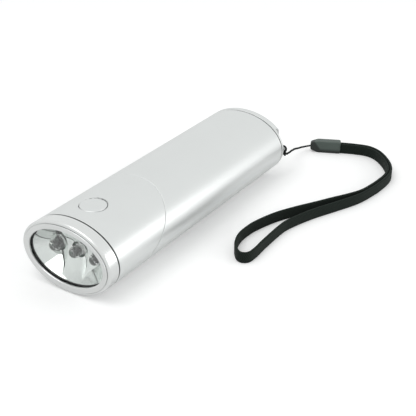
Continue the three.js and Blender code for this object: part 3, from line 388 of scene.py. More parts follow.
def finished(name, shape, body, slot, replaced, sharp_above, even_shading=True):
    """Makes a piece of a bmesh in millimetres, with its finish, its body and the nodes it stands for."""
    piece = rough_piece(shape, name)
    mesh = piece.data
    mesh.transform(Matrix.Scale(MM, 4))
    for face in mesh.polygons:
        face.use_smooth = True
    mesh.set_sharp_from_angle(angle=math.radians(sharp_above))
    mesh.materials.clear()
    mesh.materials.append(FINISHES[slot])
    if even_shading:
        weighted = piece.modifiers.new("even_shading", "WEIGHTED_NORMAL")
        weighted.keep_sharp = True
    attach(piece, body)
    if replaced:
        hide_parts(*replaced)
    return piece


def combined(piece, tool, operation="DIFFERENCE"):
    """Cuts the tool out of the piece, or joins or intersects them, and removes the tool."""
    change = piece.modifiers.new("change", "BOOLEAN")
    change.operation = operation
    change.solver = "EXACT"
    change.object = tool
    graph = bpy.context.evaluated_depsgraph_get()
    mesh = bpy.data.meshes.new_from_object(piece.evaluated_get(graph))
    piece.modifiers.clear()
    piece.data = mesh
    bpy.data.objects.remove(tool)
    return piece


def as_shape(piece):
    """Takes a rough piece back into a bmesh."""
    shape = bmesh.new()
    shape.from_mesh(piece.data)
    bpy.data.objects.remove(piece)
    return shape


def rounded(corners, steps):
    """An outline through corners (a, b, radius), each rounded by its radius in some steps."""
    points = []
    for index, (a, b, radius) in enumerate(corners):
        corner = Vector((a, b))
        if not radius:
            points.append(corner)
            continue
        back = (Vector(corners[index - 1][:2]) - corner).normalized()
        ahead = (Vector(corners[(index + 1) % len(corners)][:2]) - corner).normalized()
        half = back.angle(ahead) / 2
        centre = corner + (back + ahead).normalized() * radius / math.sin(half)
        start = corner + back * radius / math.tan(half) - centre
        end = corner + ahead * radius / math.tan(half) - centre
        for step in range(steps + 1):
            points.append(centre + start.lerp(end, step / steps).normalized() * radius)
    return points


def ring_edges(verts):
    """The edges between these verts, in the same order each run."""
    known = set(verts)
    found = (edge for vert in verts for edge in vert.link_edges if edge.other_vert(vert) in known)
    return list(dict.fromkeys(found))


def oval_loft(stations, closed=True, bare_short_of=NOTHING_BARE):
    """The body's oval drawn through stations (y, inset): a closed run makes a ring, an open one a solid.
    An attribute marks the inner surfaces short of a y, which paint doesn't reach. They are coloured near-black,
    partly as painted shade in the seam grooves."""
    shape = bmesh.new()
    bare_with_seam_shade = shape.verts.layers.float.new("bare_with_seam_shade")
    y, inset = stations[0]
    ring = bmesh.ops.create_circle(shape, segments=OVAL_SIDES, radius=1)["verts"]
    bmesh.ops.rotate(shape, cent=(0, 0, 0), matrix=Matrix.Rotation(math.pi / 2, 3, "X"), verts=ring)
    bmesh.ops.scale(shape, vec=(HALF_WIDTH - inset, 1, HALF_HEIGHT - inset), verts=ring)
    bmesh.ops.translate(shape, vec=(0, y, HALF_HEIGHT), verts=ring)
    rings = [ring]
    first = edges = ring_edges(ring)
    about_middle = Matrix.Translation((0, 0, -HALF_HEIGHT))
    for next_y, next_inset in stations[1:]:
        made = bmesh.ops.extrude_edge_only(shape, edges=edges)["geom"]
        ring = [item for item in made if isinstance(item, bmesh.types.BMVert)]
        wider = (HALF_WIDTH - next_inset) / (HALF_WIDTH - inset)
        taller = (HALF_HEIGHT - next_inset) / (HALF_HEIGHT - inset)
        bmesh.ops.scale(shape, vec=(wider, 1, taller), space=about_middle, verts=ring)
        bmesh.ops.translate(shape, vec=(0, next_y - y, 0), verts=ring)
        y, inset = next_y, next_inset
        rings.append(ring)
        edges = ring_edges(ring)
    for (y, inset), ring in zip(stations, rings):
        for vert in ring:
            vert[bare_with_seam_shade] = y < bare_short_of and inset > PAINT_EDGE
    if closed:
        bmesh.ops.bridge_loops(shape, edges=first + edges)
    else:
        bmesh.ops.holes_fill(shape, edges=first + edges)
    return shape


def turned(profile, axis, place, steps):
    """A profile of (radius, height) spun round the axis through the place."""
    shape = bmesh.new()
    verts = [shape.verts.new((radius, 0, height)) for radius, height in profile]
    edges = [shape.edges.new(pair) for pair in zip(verts, verts[1:])]
    bmesh.ops.spin(
        shape, geom=verts + edges, cent=(0, 0, 0), axis=UP, angle=math.tau, steps=steps, use_merge=True,
    )
    bmesh.ops.remove_doubles(shape, verts=shape.verts, dist=MERGE_DISTANCE)
    turn = UP.rotation_difference(axis).to_matrix().to_4x4()
    bmesh.ops.transform(shape, matrix=Matrix.Translation(place) @ turn, verts=shape.verts)
    return shape


def block(low, high):
    """A box between two corners."""
    shape = bmesh.new()
    bmesh.ops.create_cube(shape, size=1)
    size = Vector(high) - Vector(low)
    bmesh.ops.scale(shape, vec=size, verts=shape.verts)
    bmesh.ops.translate(shape, vec=(Vector(high) + Vector(low)) / 2, verts=shape.verts)
    return shape


def smooth_path(points, spacing):
    """Points at an even spacing on one smooth curve through the given ones."""
    points_a_stretch = 24
    points = [Vector(point) for point in points]
    dense = [points[0]]
    for index in range(len(points) - 1):
        before = points[max(index - 1, 0)]
        here, after = points[index], points[index + 1]
        beyond = points[min(index + 2, len(points) - 1)]
        reach = (after - here).length / 3
        leave = here + (after - before).normalized() * reach
        arrive = after - (beyond - here).normalized() * reach
        dense += interpolate_bezier(here, leave, arrive, after, points_a_stretch)[1:]
    lengths = [0.0]
    for start, end in zip(dense, dense[1:]):
        lengths.append(lengths[-1] + (end - start).length)
    count = round(lengths[-1] / spacing)
    path = []
    index = 0
    for step in range(count + 1):
        wanted = lengths[-1] * step / count
        while index < len(dense) - 2 and lengths[index + 1] < wanted:
            index += 1
        share = (wanted - lengths[index]) / (lengths[index + 1] - lengths[index])
        path.append(dense[index].lerp(dense[index + 1], share))
    return path


def path_length(path):
    return sum((end - start).length for start, end in zip(path, path[1:]))


def swept(path, section, up=None, twist_pitch=None, closed=False):
    """A section of (side, rise) points drawn along a path, by extruding its face from step to step.
    It keeps to the given up, or else turns no more than the path does, apart from its own twist.
    The attributes along and across hold the distance in millimetres and the place on the section."""
    shape = bmesh.new()
    along = shape.verts.layers.float.new("along")
    across = shape.verts.layers.float.new("across")
    rise = Vector(up or UP)
    travelled = 0.0
    face = None
    for index, point in enumerate(path):
        before = path[index - 1] if index or closed else point
        after = path[(index + 1) % len(path)] if index < len(path) - 1 or closed else point
        tangent = (after - before).normalized()
        if up is None:
            rise = (rise - tangent * rise.dot(tangent)).normalized()
            side = tangent.cross(rise)
        else:
            side = tangent.cross(Vector(up)).normalized()
            rise = side.cross(tangent)
        if index:
            travelled += (point - path[index - 1]).length
        angle = math.tau * travelled / twist_pitch if twist_pitch else 0
        turn = Matrix.Rotation(angle, 2)
        if face is None:
            face = shape.faces.new([shape.verts.new((0, 0, 0)) for _ in section])
            first = face
        else:
            behind = face
            made = bmesh.ops.extrude_face_region(shape, geom=[face])["geom"]
            face = next(item for item in made if isinstance(item, bmesh.types.BMFace))
            if behind != first:
                bmesh.ops.delete(shape, geom=[behind], context="FACES_ONLY")
        for number, (vert, place) in enumerate(zip(face.verts, section)):
            turned_place = turn @ Vector(place)
            vert.co = point + side * turned_place.x + rise * turned_place.y
            vert[along] = travelled
            vert[across] = place[1] if up else abs(number / len(section) - 0.5)
    if closed:
        loops = [*first.edges, *face.edges]
        bmesh.ops.delete(shape, geom=[first, face], context="FACES_ONLY")
        bmesh.ops.bridge_loops(shape, edges=loops)
    return shape


def joined(shape, other):
    """Adds a second bmesh to a first one."""
    mesh = bpy.data.meshes.new("other")
    other.to_mesh(mesh)
    other.free()
    shape.from_mesh(mesh)
    bpy.data.meshes.remove(mesh)
    return shape


# Strap: the thin cord from the knot to the sleeve, and the band that loops out of the sleeve

CORD_ROUTE = [
    (24.3, 73.1, 13.5), (23.8, 75.2, 13.0), (23.4, 76.8, 12.5), (22.7, 79.1, 11.7),
    (22.0, 81.6, 11.1), (21.2, 84.3, 10.3), (20.5, 87.1, 9.4), (19.5, 90.1, 8.4),
    (18.8, 92.8, 7.4), (18.2, 95.4, 6.4), (17.8, 97.9, 5.5), (17.6, 100.4, 4.8),
    (17.6, 102.9, 4.2), (17.9, 105.4, 3.6), (18.5, 107.7, 3.2), (19.4, 109.7, 3.0),
]
BAND_ROUTE = [
    (34.9, 117.0), (41.7, 119.6), (49.0, 121.1), (55.0, 119.1), (61.9, 113.2),
    (66.6, 107.2), (69.3, 101.7), (70.3, 96.3), (70.2, 90.2), (69.4, 82.4),
    (67.6, 73.4), (63.3, 64.7), (60.0, 59.3), (54.3, 49.3), (48.5, 39.5),
    (43.3, 29.0), (39.6, 16.4), (38.9, 9.0), (39.2, 3.4), (40.7, -1.9),
    (43.5, -7.1), (47.7, -10.9), (51.1, -9.8), (52.0, -5.1), (51.5, 4.0),
    (51.3, 22.2), (52.8, 30.0), (57.1, 42.5), (62.3, 53.8), (68.7, 68.7),
    (71.4, 82.3), (72.0, 90.0), (72.0, 96.4), (70.8, 102.5), (67.9, 108.4),
    (63.1, 114.5), (55.9, 120.7), (48.8, 123.0), (40.9, 121.3), (34.1, 118.7),
]
BAND_SHIFT = Vector((0.2, -1.1, 0))
BAND_WIDTH = 5.4
BAND_THICKNESS = 1.3
BAND_EDGE_ROUND = 0.42
BAND_STEP = 0.7
BAND_FACE_WIDTH = 0.6
BAND_FLOOR_GAP = 0.05
CORD_DIAMETER = 1.1
CORD_WAIST_SHARE = 0.12
CORD_STEP = 0.35
CORD_TWIST_PITCH = 2.6
SLEEVE_LENGTH = 16.5
SLEEVE_THICKNESS = 5
SLEEVE_TAPER = 4
SLEEVE_MOUTH_HALF = 2.1
SLEEVE_MOUTH_SHARE = 0.72
SLEEVE_EDGE_ROUND = 0.85
SLEEVE_SLOT_RIM = 0.12
SLEEVE_SLOT_DEPTH = 2.5
SLEEVE_SETBACK = 0.3
BAND_END_GAP = 0.4
BAND_END_PINCH = 0.2


def two_ply_section(sides):
    """Two strands side by side, drawn as one outline with a waist."""
    points = []
    for side in range(sides):
        angle = math.tau * side / sides
        radius = CORD_DIAMETER / 2 * (1 - CORD_WAIST_SHARE + CORD_WAIST_SHARE * math.cos(2 * angle))
        points.append((radius * math.cos(angle), radius * math.sin(angle)))
    return points


def tape_section():
    """A flat tape with soft edges, its width upright."""
    signs = [(-1, -1), (1, -1), (1, 1), (-1, 1)]
    corners = [(a * BAND_THICKNESS / 2, b * BAND_WIDTH / 2, BAND_EDGE_ROUND) for a, b in signs]
    outline = rounded(corners, 3)
    points = []
    for here, after in zip(outline, outline[1:] + outline[:1]):
        pieces = max(1, round((after - here).length / BAND_FACE_WIDTH))
        points += [tuple(here.lerp(after, step / pieces)) for step in range(pieces)]
    return points


cord_path = smooth_path(CORD_ROUTE, CORD_STEP)
cord_shape = swept(cord_path, two_ply_section(16), twist_pitch=CORD_TWIST_PITCH)
strap_cord = finished("strap_cord_strands", cord_shape, "handle", "black_cord", ["strap_cord"], 60, False)

sleeve_mouth = Vector(CORD_ROUTE[-1])
band_middle = (Vector(BAND_ROUTE[0]) + Vector(BAND_ROUTE[-1])) / 2 + BAND_SHIFT.xy
sleeve_run = Vector((*(band_middle - sleeve_mouth.xy), 0)).normalized()
band_side = sleeve_run.cross(UP)


def inside_sleeve(leg):
    """The end of a band leg, inside the sleeve's slot, where both legs draw nearer to each other."""
    start = Vector((*leg, 0)) - sleeve_run * (SLEEVE_SLOT_DEPTH - BAND_END_GAP)
    offset = (start + BAND_SHIFT - Vector((*band_middle, 0))).dot(band_side)
    return (start - band_side * offset * BAND_END_PINCH).xy


def band_point(place, lift):
    return Vector((*place, BAND_WIDTH / 2 + lift)) + BAND_SHIFT


band_points = [band_point(inside_sleeve(BAND_ROUTE[0]), 2 * BAND_FLOOR_GAP)]
band_points += [band_point(place, BAND_FLOOR_GAP) for place in BAND_ROUTE]
band_points += [band_point(inside_sleeve(BAND_ROUTE[-1]), 2 * BAND_FLOOR_GAP)]
band_path = smooth_path(band_points, BAND_STEP)
band_shape = swept(band_path, tape_section(), up=UP)
wrist_band = finished("wrist_band_tape", band_shape, "handle", "black_band", ["wrist_band"], 60, False)


def sleeve_shape():
    """A moulded clamp, tapered towards the cord, with a slot for the band in its wide end."""
    shape = bmesh.new()
    middle = SLEEVE_HEIGHT / 2
    outline = [
        (-SLEEVE_LENGTH, middle - SLEEVE_MOUTH_HALF), (-SLEEVE_LENGTH + SLEEVE_TAPER, 0.0), (0.0, 0.0),
        (0.0, SLEEVE_HEIGHT), (-SLEEVE_LENGTH + SLEEVE_TAPER, SLEEVE_HEIGHT),
        (-SLEEVE_LENGTH, middle + SLEEVE_MOUTH_HALF),
    ]
    face = shape.faces.new([shape.verts.new((x, -SLEEVE_THICKNESS / 2, z)) for x, z in outline])
    made = bmesh.ops.extrude_face_region(shape, geom=[face])["geom"]
    far_side = [item for item in made if isinstance(item, bmesh.types.BMVert)]
    bmesh.ops.translate(shape, vec=(0, SLEEVE_THICKNESS, 0), verts=far_side)
    mouth = [vert for vert in shape.verts if vert.co.x < -SLEEVE_LENGTH + AT_PLACE]
    bmesh.ops.scale(shape, vec=(1, SLEEVE_MOUTH_SHARE, 1), verts=mouth)
    bmesh.ops.recalc_face_normals(shape, faces=shape.faces)
    bmesh.ops.bevel(
        shape, geom=list(shape.edges), offset=SLEEVE_EDGE_ROUND, segments=5, profile=0.5, affect="EDGES",
        material=-1,
    )
    rear = max(shape.faces, key=lambda item: item.normal.x * item.calc_area())
    bmesh.ops.inset_region(shape, faces=[rear], thickness=SLEEVE_SLOT_RIM, depth=0)
    made = bmesh.ops.extrude_face_region(shape, geom=[rear])["geom"]
    slot_floor = [item for item in made if isinstance(item, bmesh.types.BMVert)]
    bmesh.ops.translate(shape, vec=(-SLEEVE_SLOT_DEPTH, 0, 0), verts=slot_floor)
    if rear.is_valid:
        bmesh.ops.delete(shape, geom=[rear], context="FACES_ONLY")
    along = shape.verts.layers.float.new("along")
    for vert in shape.verts:
        vert[along] = -vert.co.x
    turn = Matrix.Rotation(math.atan2(sleeve_run.y, sleeve_run.x), 4, "Z")
    place = Matrix.Translation((*band_middle, 0)) @ turn @ Matrix.Translation((-SLEEVE_SETBACK, 0, 0))
    bmesh.ops.transform(shape, matrix=place, verts=shape.verts)
    return shape


strap_sleeve = finished(
    "strap_sleeve_clamp", sleeve_shape(), "handle", "black_sleeve", ["strap_sleeve"], 40,
)

EYELET_LOW, EYELET_HIGH = (Vector(corner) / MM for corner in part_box("strap_eyelet"))
EYELET_INTO_CAP = Vector((0.5, 0.35, 0))
EYELET_CORNER = 0.7
EYELET_BAR = 0.95
EYELET_EDGE_ROUND = 0.36
BAR_FROM_SIDE = 0.6
BAR = Vector((EYELET_HIGH.x - BAR_FROM_SIDE, (EYELET_LOW.y + EYELET_HIGH.y) / 2, HALF_HEIGHT))
HITCH_RADIUS = 1.4
HITCH_STRETCH = 1.08
KNOT = Vector((23.9, BAR.y, 14.1))
KNOT_SIZE = 0.25
KNOT_DEPTH_SHARE = 1.6


def eyelet_shape():
    """A level loop with a rounded bar, whose inner side runs into the end cap."""
    shape = bmesh.new()
    low, high = EYELET_LOW - EYELET_INTO_CAP, EYELET_HIGH
    corners = [(low.x, low.y), (high.x, low.y), (high.x, high.y), (low.x, high.y)]
    shape.faces.new([shape.verts.new((x, y, low.z)) for x, y in corners])
    bmesh.ops.bevel(
        shape, geom=list(shape.verts), offset=EYELET_CORNER, segments=6, profile=0.5, affect="VERTICES",
        material=-1,
    )
    face = shape.faces[:][0]
    bmesh.ops.inset_region(shape, faces=[face], thickness=EYELET_BAR, depth=0, use_boundary=True)
    bmesh.ops.delete(shape, geom=[face], context="FACES_ONLY")
    made = bmesh.ops.extrude_face_region(shape, geom=shape.faces[:])["geom"]
    top = [item for item in made if isinstance(item, bmesh.types.BMVert)]
    bmesh.ops.translate(shape, vec=(0, 0, high.z - low.z), verts=top)
    bmesh.ops.recalc_face_normals(shape, faces=shape.faces)
    rims = [edge for edge in shape.edges if len(edge.link_faces) == 2 and edge.calc_face_angle() > 1]
    bmesh.ops.bevel(
        shape, geom=rims, offset=EYELET_EDGE_ROUND, segments=4, profile=0.5, affect="EDGES", material=-1,
        clamp_overlap=True,
    )
    return shape


finished("strap_eyelet_loop", eyelet_shape(), "handle", "bright_silver", ["strap_eyelet"], 50)


def hitch_turn():
    """The cord's turn round the eyelet's bar."""
    steps = 48
    path = []
    for step in range(steps):
        angle = math.tau * step / steps
        path.append(BAR + HITCH_RADIUS * Vector((math.cos(angle), 0, HITCH_STRETCH * math.sin(angle))))
    return swept(path, two_ply_section(12), up=REARWARD, closed=True)


def knot_shape():
    """A trefoil knot, drawn tight."""
    steps = 90
    path = []
    for step in range(steps):
        angle = math.tau * step / steps
        path.append(KNOT + KNOT_SIZE * Vector((
            math.sin(angle) + 2 * math.sin(2 * angle),
            KNOT_DEPTH_SHARE * math.sin(3 * angle),
            math.cos(angle) - 2 * math.cos(2 * angle),
        )))
    return swept(path, two_ply_section(12), closed=True)


hitch = joined(knot_shape(), hitch_turn())
finished("strap_hitch_strands", hitch, "handle", "black_cord", ["strap_hitch"], 60, False)

cord_path[0] * MM
path_length(cord_path) * MM
[point * MM for point in cord_path]
band_path[0] * MM
path_length(band_path) * MM
[point * MM for point in band_path]


# Body: two halves of one oval tube that meet on the slanted joint, the bezel and the end cap

def cut_at_joint(shape, keep_head):
    """Cuts a tube along the joint plane, closes its wall and rounds the edge that shows."""
    shift = -JOINT_HALF_GAP if keep_head else JOINT_HALF_GAP
    cut = bmesh.ops.bisect_plane(
        shape, geom=shape.verts[:] + shape.edges[:] + shape.faces[:], dist=ON_PLANE,
        plane_co=JOINT + TWIST_AXIS * shift, plane_no=TWIST_AXIS, clear_outer=keep_head,
        clear_inner=not keep_head,
    )["geom_cut"]
    edges = [item for item in cut if isinstance(item, bmesh.types.BMEdge)]
    bmesh.ops.bridge_loops(shape, edges=edges)
    outer = [edge for edge in edges if all(on_outside(vert.co) for vert in edge.verts)]
    bmesh.ops.bevel(
        shape, geom=outer, offset=JOINT_EDGE_ROUND, segments=3, profile=0.5, affect="EDGES", material=-1,
    )
    return shape


def on_outside(point):
    """Whether a point lies on the body's outer oval."""
    reach = (point.x / HALF_WIDTH) ** 2 + ((point.z - HALF_HEIGHT) / HALF_HEIGHT) ** 2
    return reach > 0.99


def surface_drop(x):
    """How far the top of the oval has fallen at a distance from the middle."""
    return HALF_HEIGHT * (1 - math.sqrt(1 - (x / HALF_WIDTH) ** 2))


OVERRUN = 2
BORE_RADIUS = 6.1
BORE_RIM = 0.45
BORE_DEPTH = 6


def button_bore():
    """The button's hole, with a rounded rim that follows the oval surface."""
    top = 2 * HALF_HEIGHT
    profile = [(0, top - BORE_DEPTH), (BORE_RADIUS, top - BORE_DEPTH)]
    for degrees in range(0, 76, 15):
        angle = math.radians(degrees)
        out = BORE_RADIUS + BORE_RIM - BORE_RIM * math.cos(angle)
        profile.append((out, top - BORE_RIM + BORE_RIM * math.sin(angle)))
    profile += [(profile[-1][0] + 0.01, top + OVERRUN), (0, top + OVERRUN)]
    shape = turned(profile, UP, BUTTON_CENTRE, 128)
    for vert in shape.verts:
        if vert.co.z > top - BORE_DEPTH / 2:
            vert.co.z -= surface_drop(vert.co.x)
    return shape


SEAM_DEPTH = 0.3
SEAM_ROUND = 0.2
HEAD_SPIGOT_LENGTH = 1.5
HEAD_SPIGOT_SLOPE = 1.3
HEAD_BLANK_END = 5.0
HANDLE_BLANK_START = -70.0
bezel_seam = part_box("bezel_ring")[1].y / MM

head_front = bezel_seam + 0.5
head_blank = oval_loft(rounded([
    (head_front - HEAD_SPIGOT_LENGTH, SPIGOT_INSET, 0.0), (head_front, SPIGOT_INSET, 0.0),
    (head_front, SEAM_DEPTH, 0.0), (head_front, 0.0, 0.18),
    (HEAD_BLANK_END, 0.0, 0.0), (HEAD_BLANK_END, WALL, 0.0),
    (head_front + HEAD_SPIGOT_SLOPE, WALL, 0.0), (head_front, SPIGOT_INNER, 0.0),
    (head_front - HEAD_SPIGOT_LENGTH, SPIGOT_INNER, 0.0),
], 3), bare_short_of=INSIDE_BARE)
head_casing = combined(rough_piece(cut_at_joint(head_blank, True)), rough_piece(button_bore()))
finished("head_casing_shell", as_shape(head_casing), "head", "satin_silver", ["head_casing"], 30)

rear_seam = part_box("rear_casing")[1].y / MM - 0.15
rear_blank = oval_loft(rounded([
    (HANDLE_BLANK_START, 0.0, 0.0), (rear_seam, 0.0, SEAM_ROUND), (rear_seam, SEAM_DEPTH, 0.0),
    (rear_seam, WALL, 0.0), (HANDLE_BLANK_START, WALL, 0.0),
], 3), bare_short_of=INSIDE_BARE)
rear_casing = cut_at_joint(rear_blank, False)
finished("rear_casing_shell", rear_casing, "handle", "satin_silver", ["rear_casing"], 30)

# The bezel's rounded edge, a groove, and the ring round the lens, which stands proud of the edge
RING_PROUD = 0.5
RING_INSET = 1.5
GROOVE_INSET = 1.3
GROOVE_BOTTOM = RIM_Y + 0.8
LIP_INSET = 4.0
LIP_BACK = RIM_Y + 1.2
bezel_back = bezel_seam - 0.2
bezel_shape = oval_loft(rounded([
    (bezel_back, 0.0, SEAM_ROUND), (RIM_Y + RING_PROUD, 0.0, 1.1),
    (RIM_Y + RING_PROUD, GROOVE_INSET - 0.05, 0.04), (GROOVE_BOTTOM, GROOVE_INSET, 0.0),
    (GROOVE_BOTTOM, RING_INSET, 0.0), (RIM_Y, RING_INSET, 0.2), (RIM_Y + 0.25, LIP_INSET, 0.45),
    (LIP_BACK, LIP_INSET, 0.15), (LIP_BACK, WALL, 0.0),
    (bezel_back, WALL, 0.0), (bezel_back, SEAM_DEPTH, 0.0),
], 8))
finished("bezel_ring_shell", bezel_shape, "head", "bright_silver", ["bezel_ring"], 35)

CAP_SPIGOT_LENGTH = 4.7
CAP_ROUND = 2.1
CAP_FACE_INSET = 8.0
CAP_STEP_X = 18.9
CAP_STEP_ROUND = 0.3
CAP_FLANGE = 1.15
SCREW_SPREAD = 9.2
SCREW_HOLE = [
    (0, 68), (1.3, 68), (1.3, 71.4), (2.5, 71.4), (2.5, 73.35), (2.66, 73.52), (2.66, 76), (0, 76),
]
cap_front = rear_seam + 0.6
cap_spigot_end = cap_front - CAP_SPIGOT_LENGTH
cap_corners = [
    (cap_spigot_end, SPIGOT_INNER, 0.0), (cap_spigot_end, SPIGOT_INSET, 0.0), (cap_front, SPIGOT_INSET, 0.0),
    (cap_front, SEAM_DEPTH, 0.0), (cap_front, 0.0, SEAM_ROUND),
    (REAR_Y, 0.0, CAP_ROUND), (REAR_Y, CAP_FACE_INSET, 0.0),
]
cap_blank = oval_loft(rounded(cap_corners, 10), closed=False, bare_short_of=cap_front + 0.1)
cap_cut = block(
    (CAP_STEP_X, cap_front + CAP_FLANGE, -OVERRUN),
    (HALF_WIDTH + 3 * OVERRUN, REAR_Y + OVERRUN, 2 * HALF_HEIGHT + OVERRUN),
)
end_cap = combined(rough_piece(cap_blank), rough_piece(cap_cut))
for side in (-1, 1):
    tool = turned(SCREW_HOLE, REARWARD, (0, 0, HALF_HEIGHT + side * SCREW_SPREAD), 48)
    end_cap = combined(end_cap, rough_piece(tool))
cap_shape = as_shape(end_cap)
step_edges = [
    edge for edge in cap_shape.edges
    if all(abs(vert.co.x - CAP_STEP_X) < AT_PLACE for vert in edge.verts)
    and any(vert.co.y > cap_front + CAP_FLANGE + CAP_STEP_ROUND / 2 for vert in edge.verts)
]
bmesh.ops.bevel(
    cap_shape, geom=step_edges, offset=CAP_STEP_ROUND, segments=3, profile=0.5, affect="EDGES", material=-1,
    clamp_overlap=True,
)
finished("end_cap_shell", cap_shape, "handle", "satin_silver", ["end_cap"], 30)


def screw_shape(side):
    """A pan head screw with a cross recess, seen in the end cap's hole."""
    tip, seat, top = 61.4, 71.7, 73.1
    shank, head, edge_round = 1, 2.2, 0.5
    wide, narrow, recess_depth = 1.35, 0.28, 0.75
    profile = [(0, tip), (shank, tip), (shank, seat), (head, seat)]
    crown = rounded([(head, seat, 0), (head, top - 0.1, edge_round), (0.0, top, 0)], 5)
    profile += [tuple(point) for point in crown[1:]]
    place = Vector((0, 0, HALF_HEIGHT + side * SCREW_SPREAD))
    screw = rough_piece(turned(profile, REARWARD, place, 48))
    for reach in (Vector((wide, 0, narrow)), Vector((narrow, 0, wide))):
        low = place - reach + REARWARD * (top - recess_depth)
        high = place + reach + REARWARD * (top + 1)
        screw = combined(screw, rough_piece(block(low, high)))
    return as_shape(screw)


for number, side in enumerate((-1, 1), 1):
    replaced = [f"end_cap_screw_{number}"]
    finished(f"end_cap_screw_head_{number}", screw_shape(side), "handle", "steel", replaced, 30)

BUTTON_EDGE_ROUND = 0.4
BUTTON_FACE_RADIUS = 6 - BUTTON_EDGE_ROUND
BUTTON_CROWN = 0.2
BUTTON_HEIGHT = 4
BUTTON_FLANGE_RADIUS = 7.1
BUTTON_FLANGE_DROP = 2.8
BUTTON_RINGS = 8
button_top = 2 * HALF_HEIGHT - 0.02
flange_top = button_top - BUTTON_FLANGE_DROP
button_profile = [
    (0, button_top - BUTTON_HEIGHT), (BUTTON_FLANGE_RADIUS, button_top - BUTTON_HEIGHT),
    (BUTTON_FLANGE_RADIUS, flange_top), (BUTTON_FACE_RADIUS + BUTTON_EDGE_ROUND, flange_top),
]
for degrees in range(0, 91, 15):
    angle = math.radians(degrees)
    out = BUTTON_FACE_RADIUS + BUTTON_EDGE_ROUND * math.cos(angle)
    button_profile.append((out, button_top - BUTTON_CROWN - BUTTON_EDGE_ROUND * (1 - math.sin(angle))))
for step in range(1, BUTTON_RINGS + 1):
    share = 1 - step / BUTTON_RINGS
    button_profile.append((BUTTON_FACE_RADIUS * share, button_top - BUTTON_CROWN * share ** 2))
button = turned(button_profile, UP, BUTTON_CENTRE, 128)
finished("push_button_cap", button, "button", "satin_silver", ["push_button"], 35)


# Lens, reflector and lamps

LENS_EDGE_ROUND = 0.25
LENS_FACE_INSET = 12.0
GASKET_INSET = 4.2
GASKET_ROUND = 0.08
GASKET_GAP = 0.05
LAMP_PITCH = 11
CUP_RADIUS = 13.25
CUP_HOLE = 3.7
CUP_STEPS = 32
MOUTH_INSET = 4.4
MOUTH_TAPER = 6.5
REFLECTOR_FLANGE = 1
REFLECTOR_BODY_INSET = 3.5
lens_front, lens_back = (corner.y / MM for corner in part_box("lens"))
REFLECTOR_FRONT = lens_back + 0.3
REFLECTOR_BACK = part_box("reflector")[1].y / MM

lens_shape = oval_loft(rounded([
    (lens_front, LENS_FACE_INSET, 0.0), (lens_front, SPIGOT_INSET, LENS_EDGE_ROUND),
    (lens_back, SPIGOT_INSET, LENS_EDGE_ROUND), (lens_back, LENS_FACE_INSET, 0.0),
], 3), closed=False)
finished("lens_plate", lens_shape, "head", "clear_window", ["lens"], 30)

gasket_front, gasket_back = lens_back + GASKET_GAP, REFLECTOR_FRONT - GASKET_GAP
gasket_shape = oval_loft(rounded([
    (gasket_front, SPIGOT_INSET, 0.0), (gasket_front, GASKET_INSET, GASKET_ROUND),
    (gasket_back, GASKET_INSET, GASKET_ROUND), (gasket_back, SPIGOT_INSET, 0.0),
], 3))
finished("lens_gasket_ring", gasket_shape, "head", "black_rubber", ["lens_gasket"], 30)


def cup_tool(x):
    """A dished cup, widest at the front, that ends in the lamp's hole."""
    depth = REFLECTOR_BACK - REFLECTOR_FRONT
    profile = [(0, -OVERRUN), (CUP_RADIUS, -OVERRUN)]
    for step in range(CUP_STEPS + 1):
        share = step / CUP_STEPS
        radius = math.sqrt(CUP_RADIUS ** 2 + (CUP_HOLE ** 2 - CUP_RADIUS ** 2) * share)
        profile.append((radius, share * depth))
    profile += [(CUP_HOLE, depth + OVERRUN), (0, depth + OVERRUN)]
    return turned(profile, REARWARD, (x, REFLECTOR_FRONT, HALF_HEIGHT), 144)


cups = rough_piece(cup_tool(-LAMP_PITCH))
for x in (0, LAMP_PITCH):
    cups = combined(cups, rough_piece(cup_tool(x)), "UNION")
mouth = oval_loft([
    (REFLECTOR_FRONT - 2 * OVERRUN, MOUTH_INSET), (REFLECTOR_FRONT, MOUTH_INSET),
    (REFLECTOR_BACK + 0.5, MOUTH_INSET + MOUTH_TAPER),
], closed=False)
cups = combined(cups, rough_piece(mouth), "INTERSECT")
flange_back = REFLECTOR_FRONT + REFLECTOR_FLANGE
reflector_blank = oval_loft([
    (REFLECTOR_FRONT, SPIGOT_INSET), (flange_back, SPIGOT_INSET), (flange_back, REFLECTOR_BODY_INSET),
    (REFLECTOR_BACK, REFLECTOR_BODY_INSET),
], closed=False)
reflector = combined(rough_piece(reflector_blank), cups)
finished("reflector_dish", as_shape(reflector), "head", "reflector_chrome", ["reflector"], 22, False)


LAMP_BASE_Y = -62.1
CORE_BASE_Y = -62.4
LAMP_RADIUS = 2.5
LAMP_STRAIGHT = 4.1
LAMP_FLANGE_RADIUS = 2.9
LAMP_FLANGE = 1.0
LAMP_FLANGE_ROUND = 0.15


def lamp_shape(x):
    """A clear lamp body with its flange and dome, pointing out of the cup."""
    profile = [
        (0, 0), (LAMP_FLANGE_RADIUS, 0), (LAMP_FLANGE_RADIUS, LAMP_FLANGE - LAMP_FLANGE_ROUND),
        (LAMP_FLANGE_RADIUS - LAMP_FLANGE_ROUND, LAMP_FLANGE), (LAMP_RADIUS, LAMP_FLANGE),
        (LAMP_RADIUS, LAMP_STRAIGHT),
    ]
    for degrees in range(15, 91, 15):
        angle = math.radians(degrees)
        profile.append((LAMP_RADIUS * math.cos(angle), LAMP_STRAIGHT + LAMP_RADIUS * math.sin(angle)))
    return turned(profile, FORWARD, (x, LAMP_BASE_Y, HALF_HEIGHT), 64)


def lamp_core_shape(x):
    """The small cup that holds the chip inside a lamp."""
    profile = [(0, 1.2), (0.6, 1.2), (0.6, 2.2), (1.2, 3.0), (1.2, 3.3), (1.05, 3.3), (0.5, 2.7), (0, 2.7)]
    return turned(profile, FORWARD, (x, CORE_BASE_Y, HALF_HEIGHT), 40)


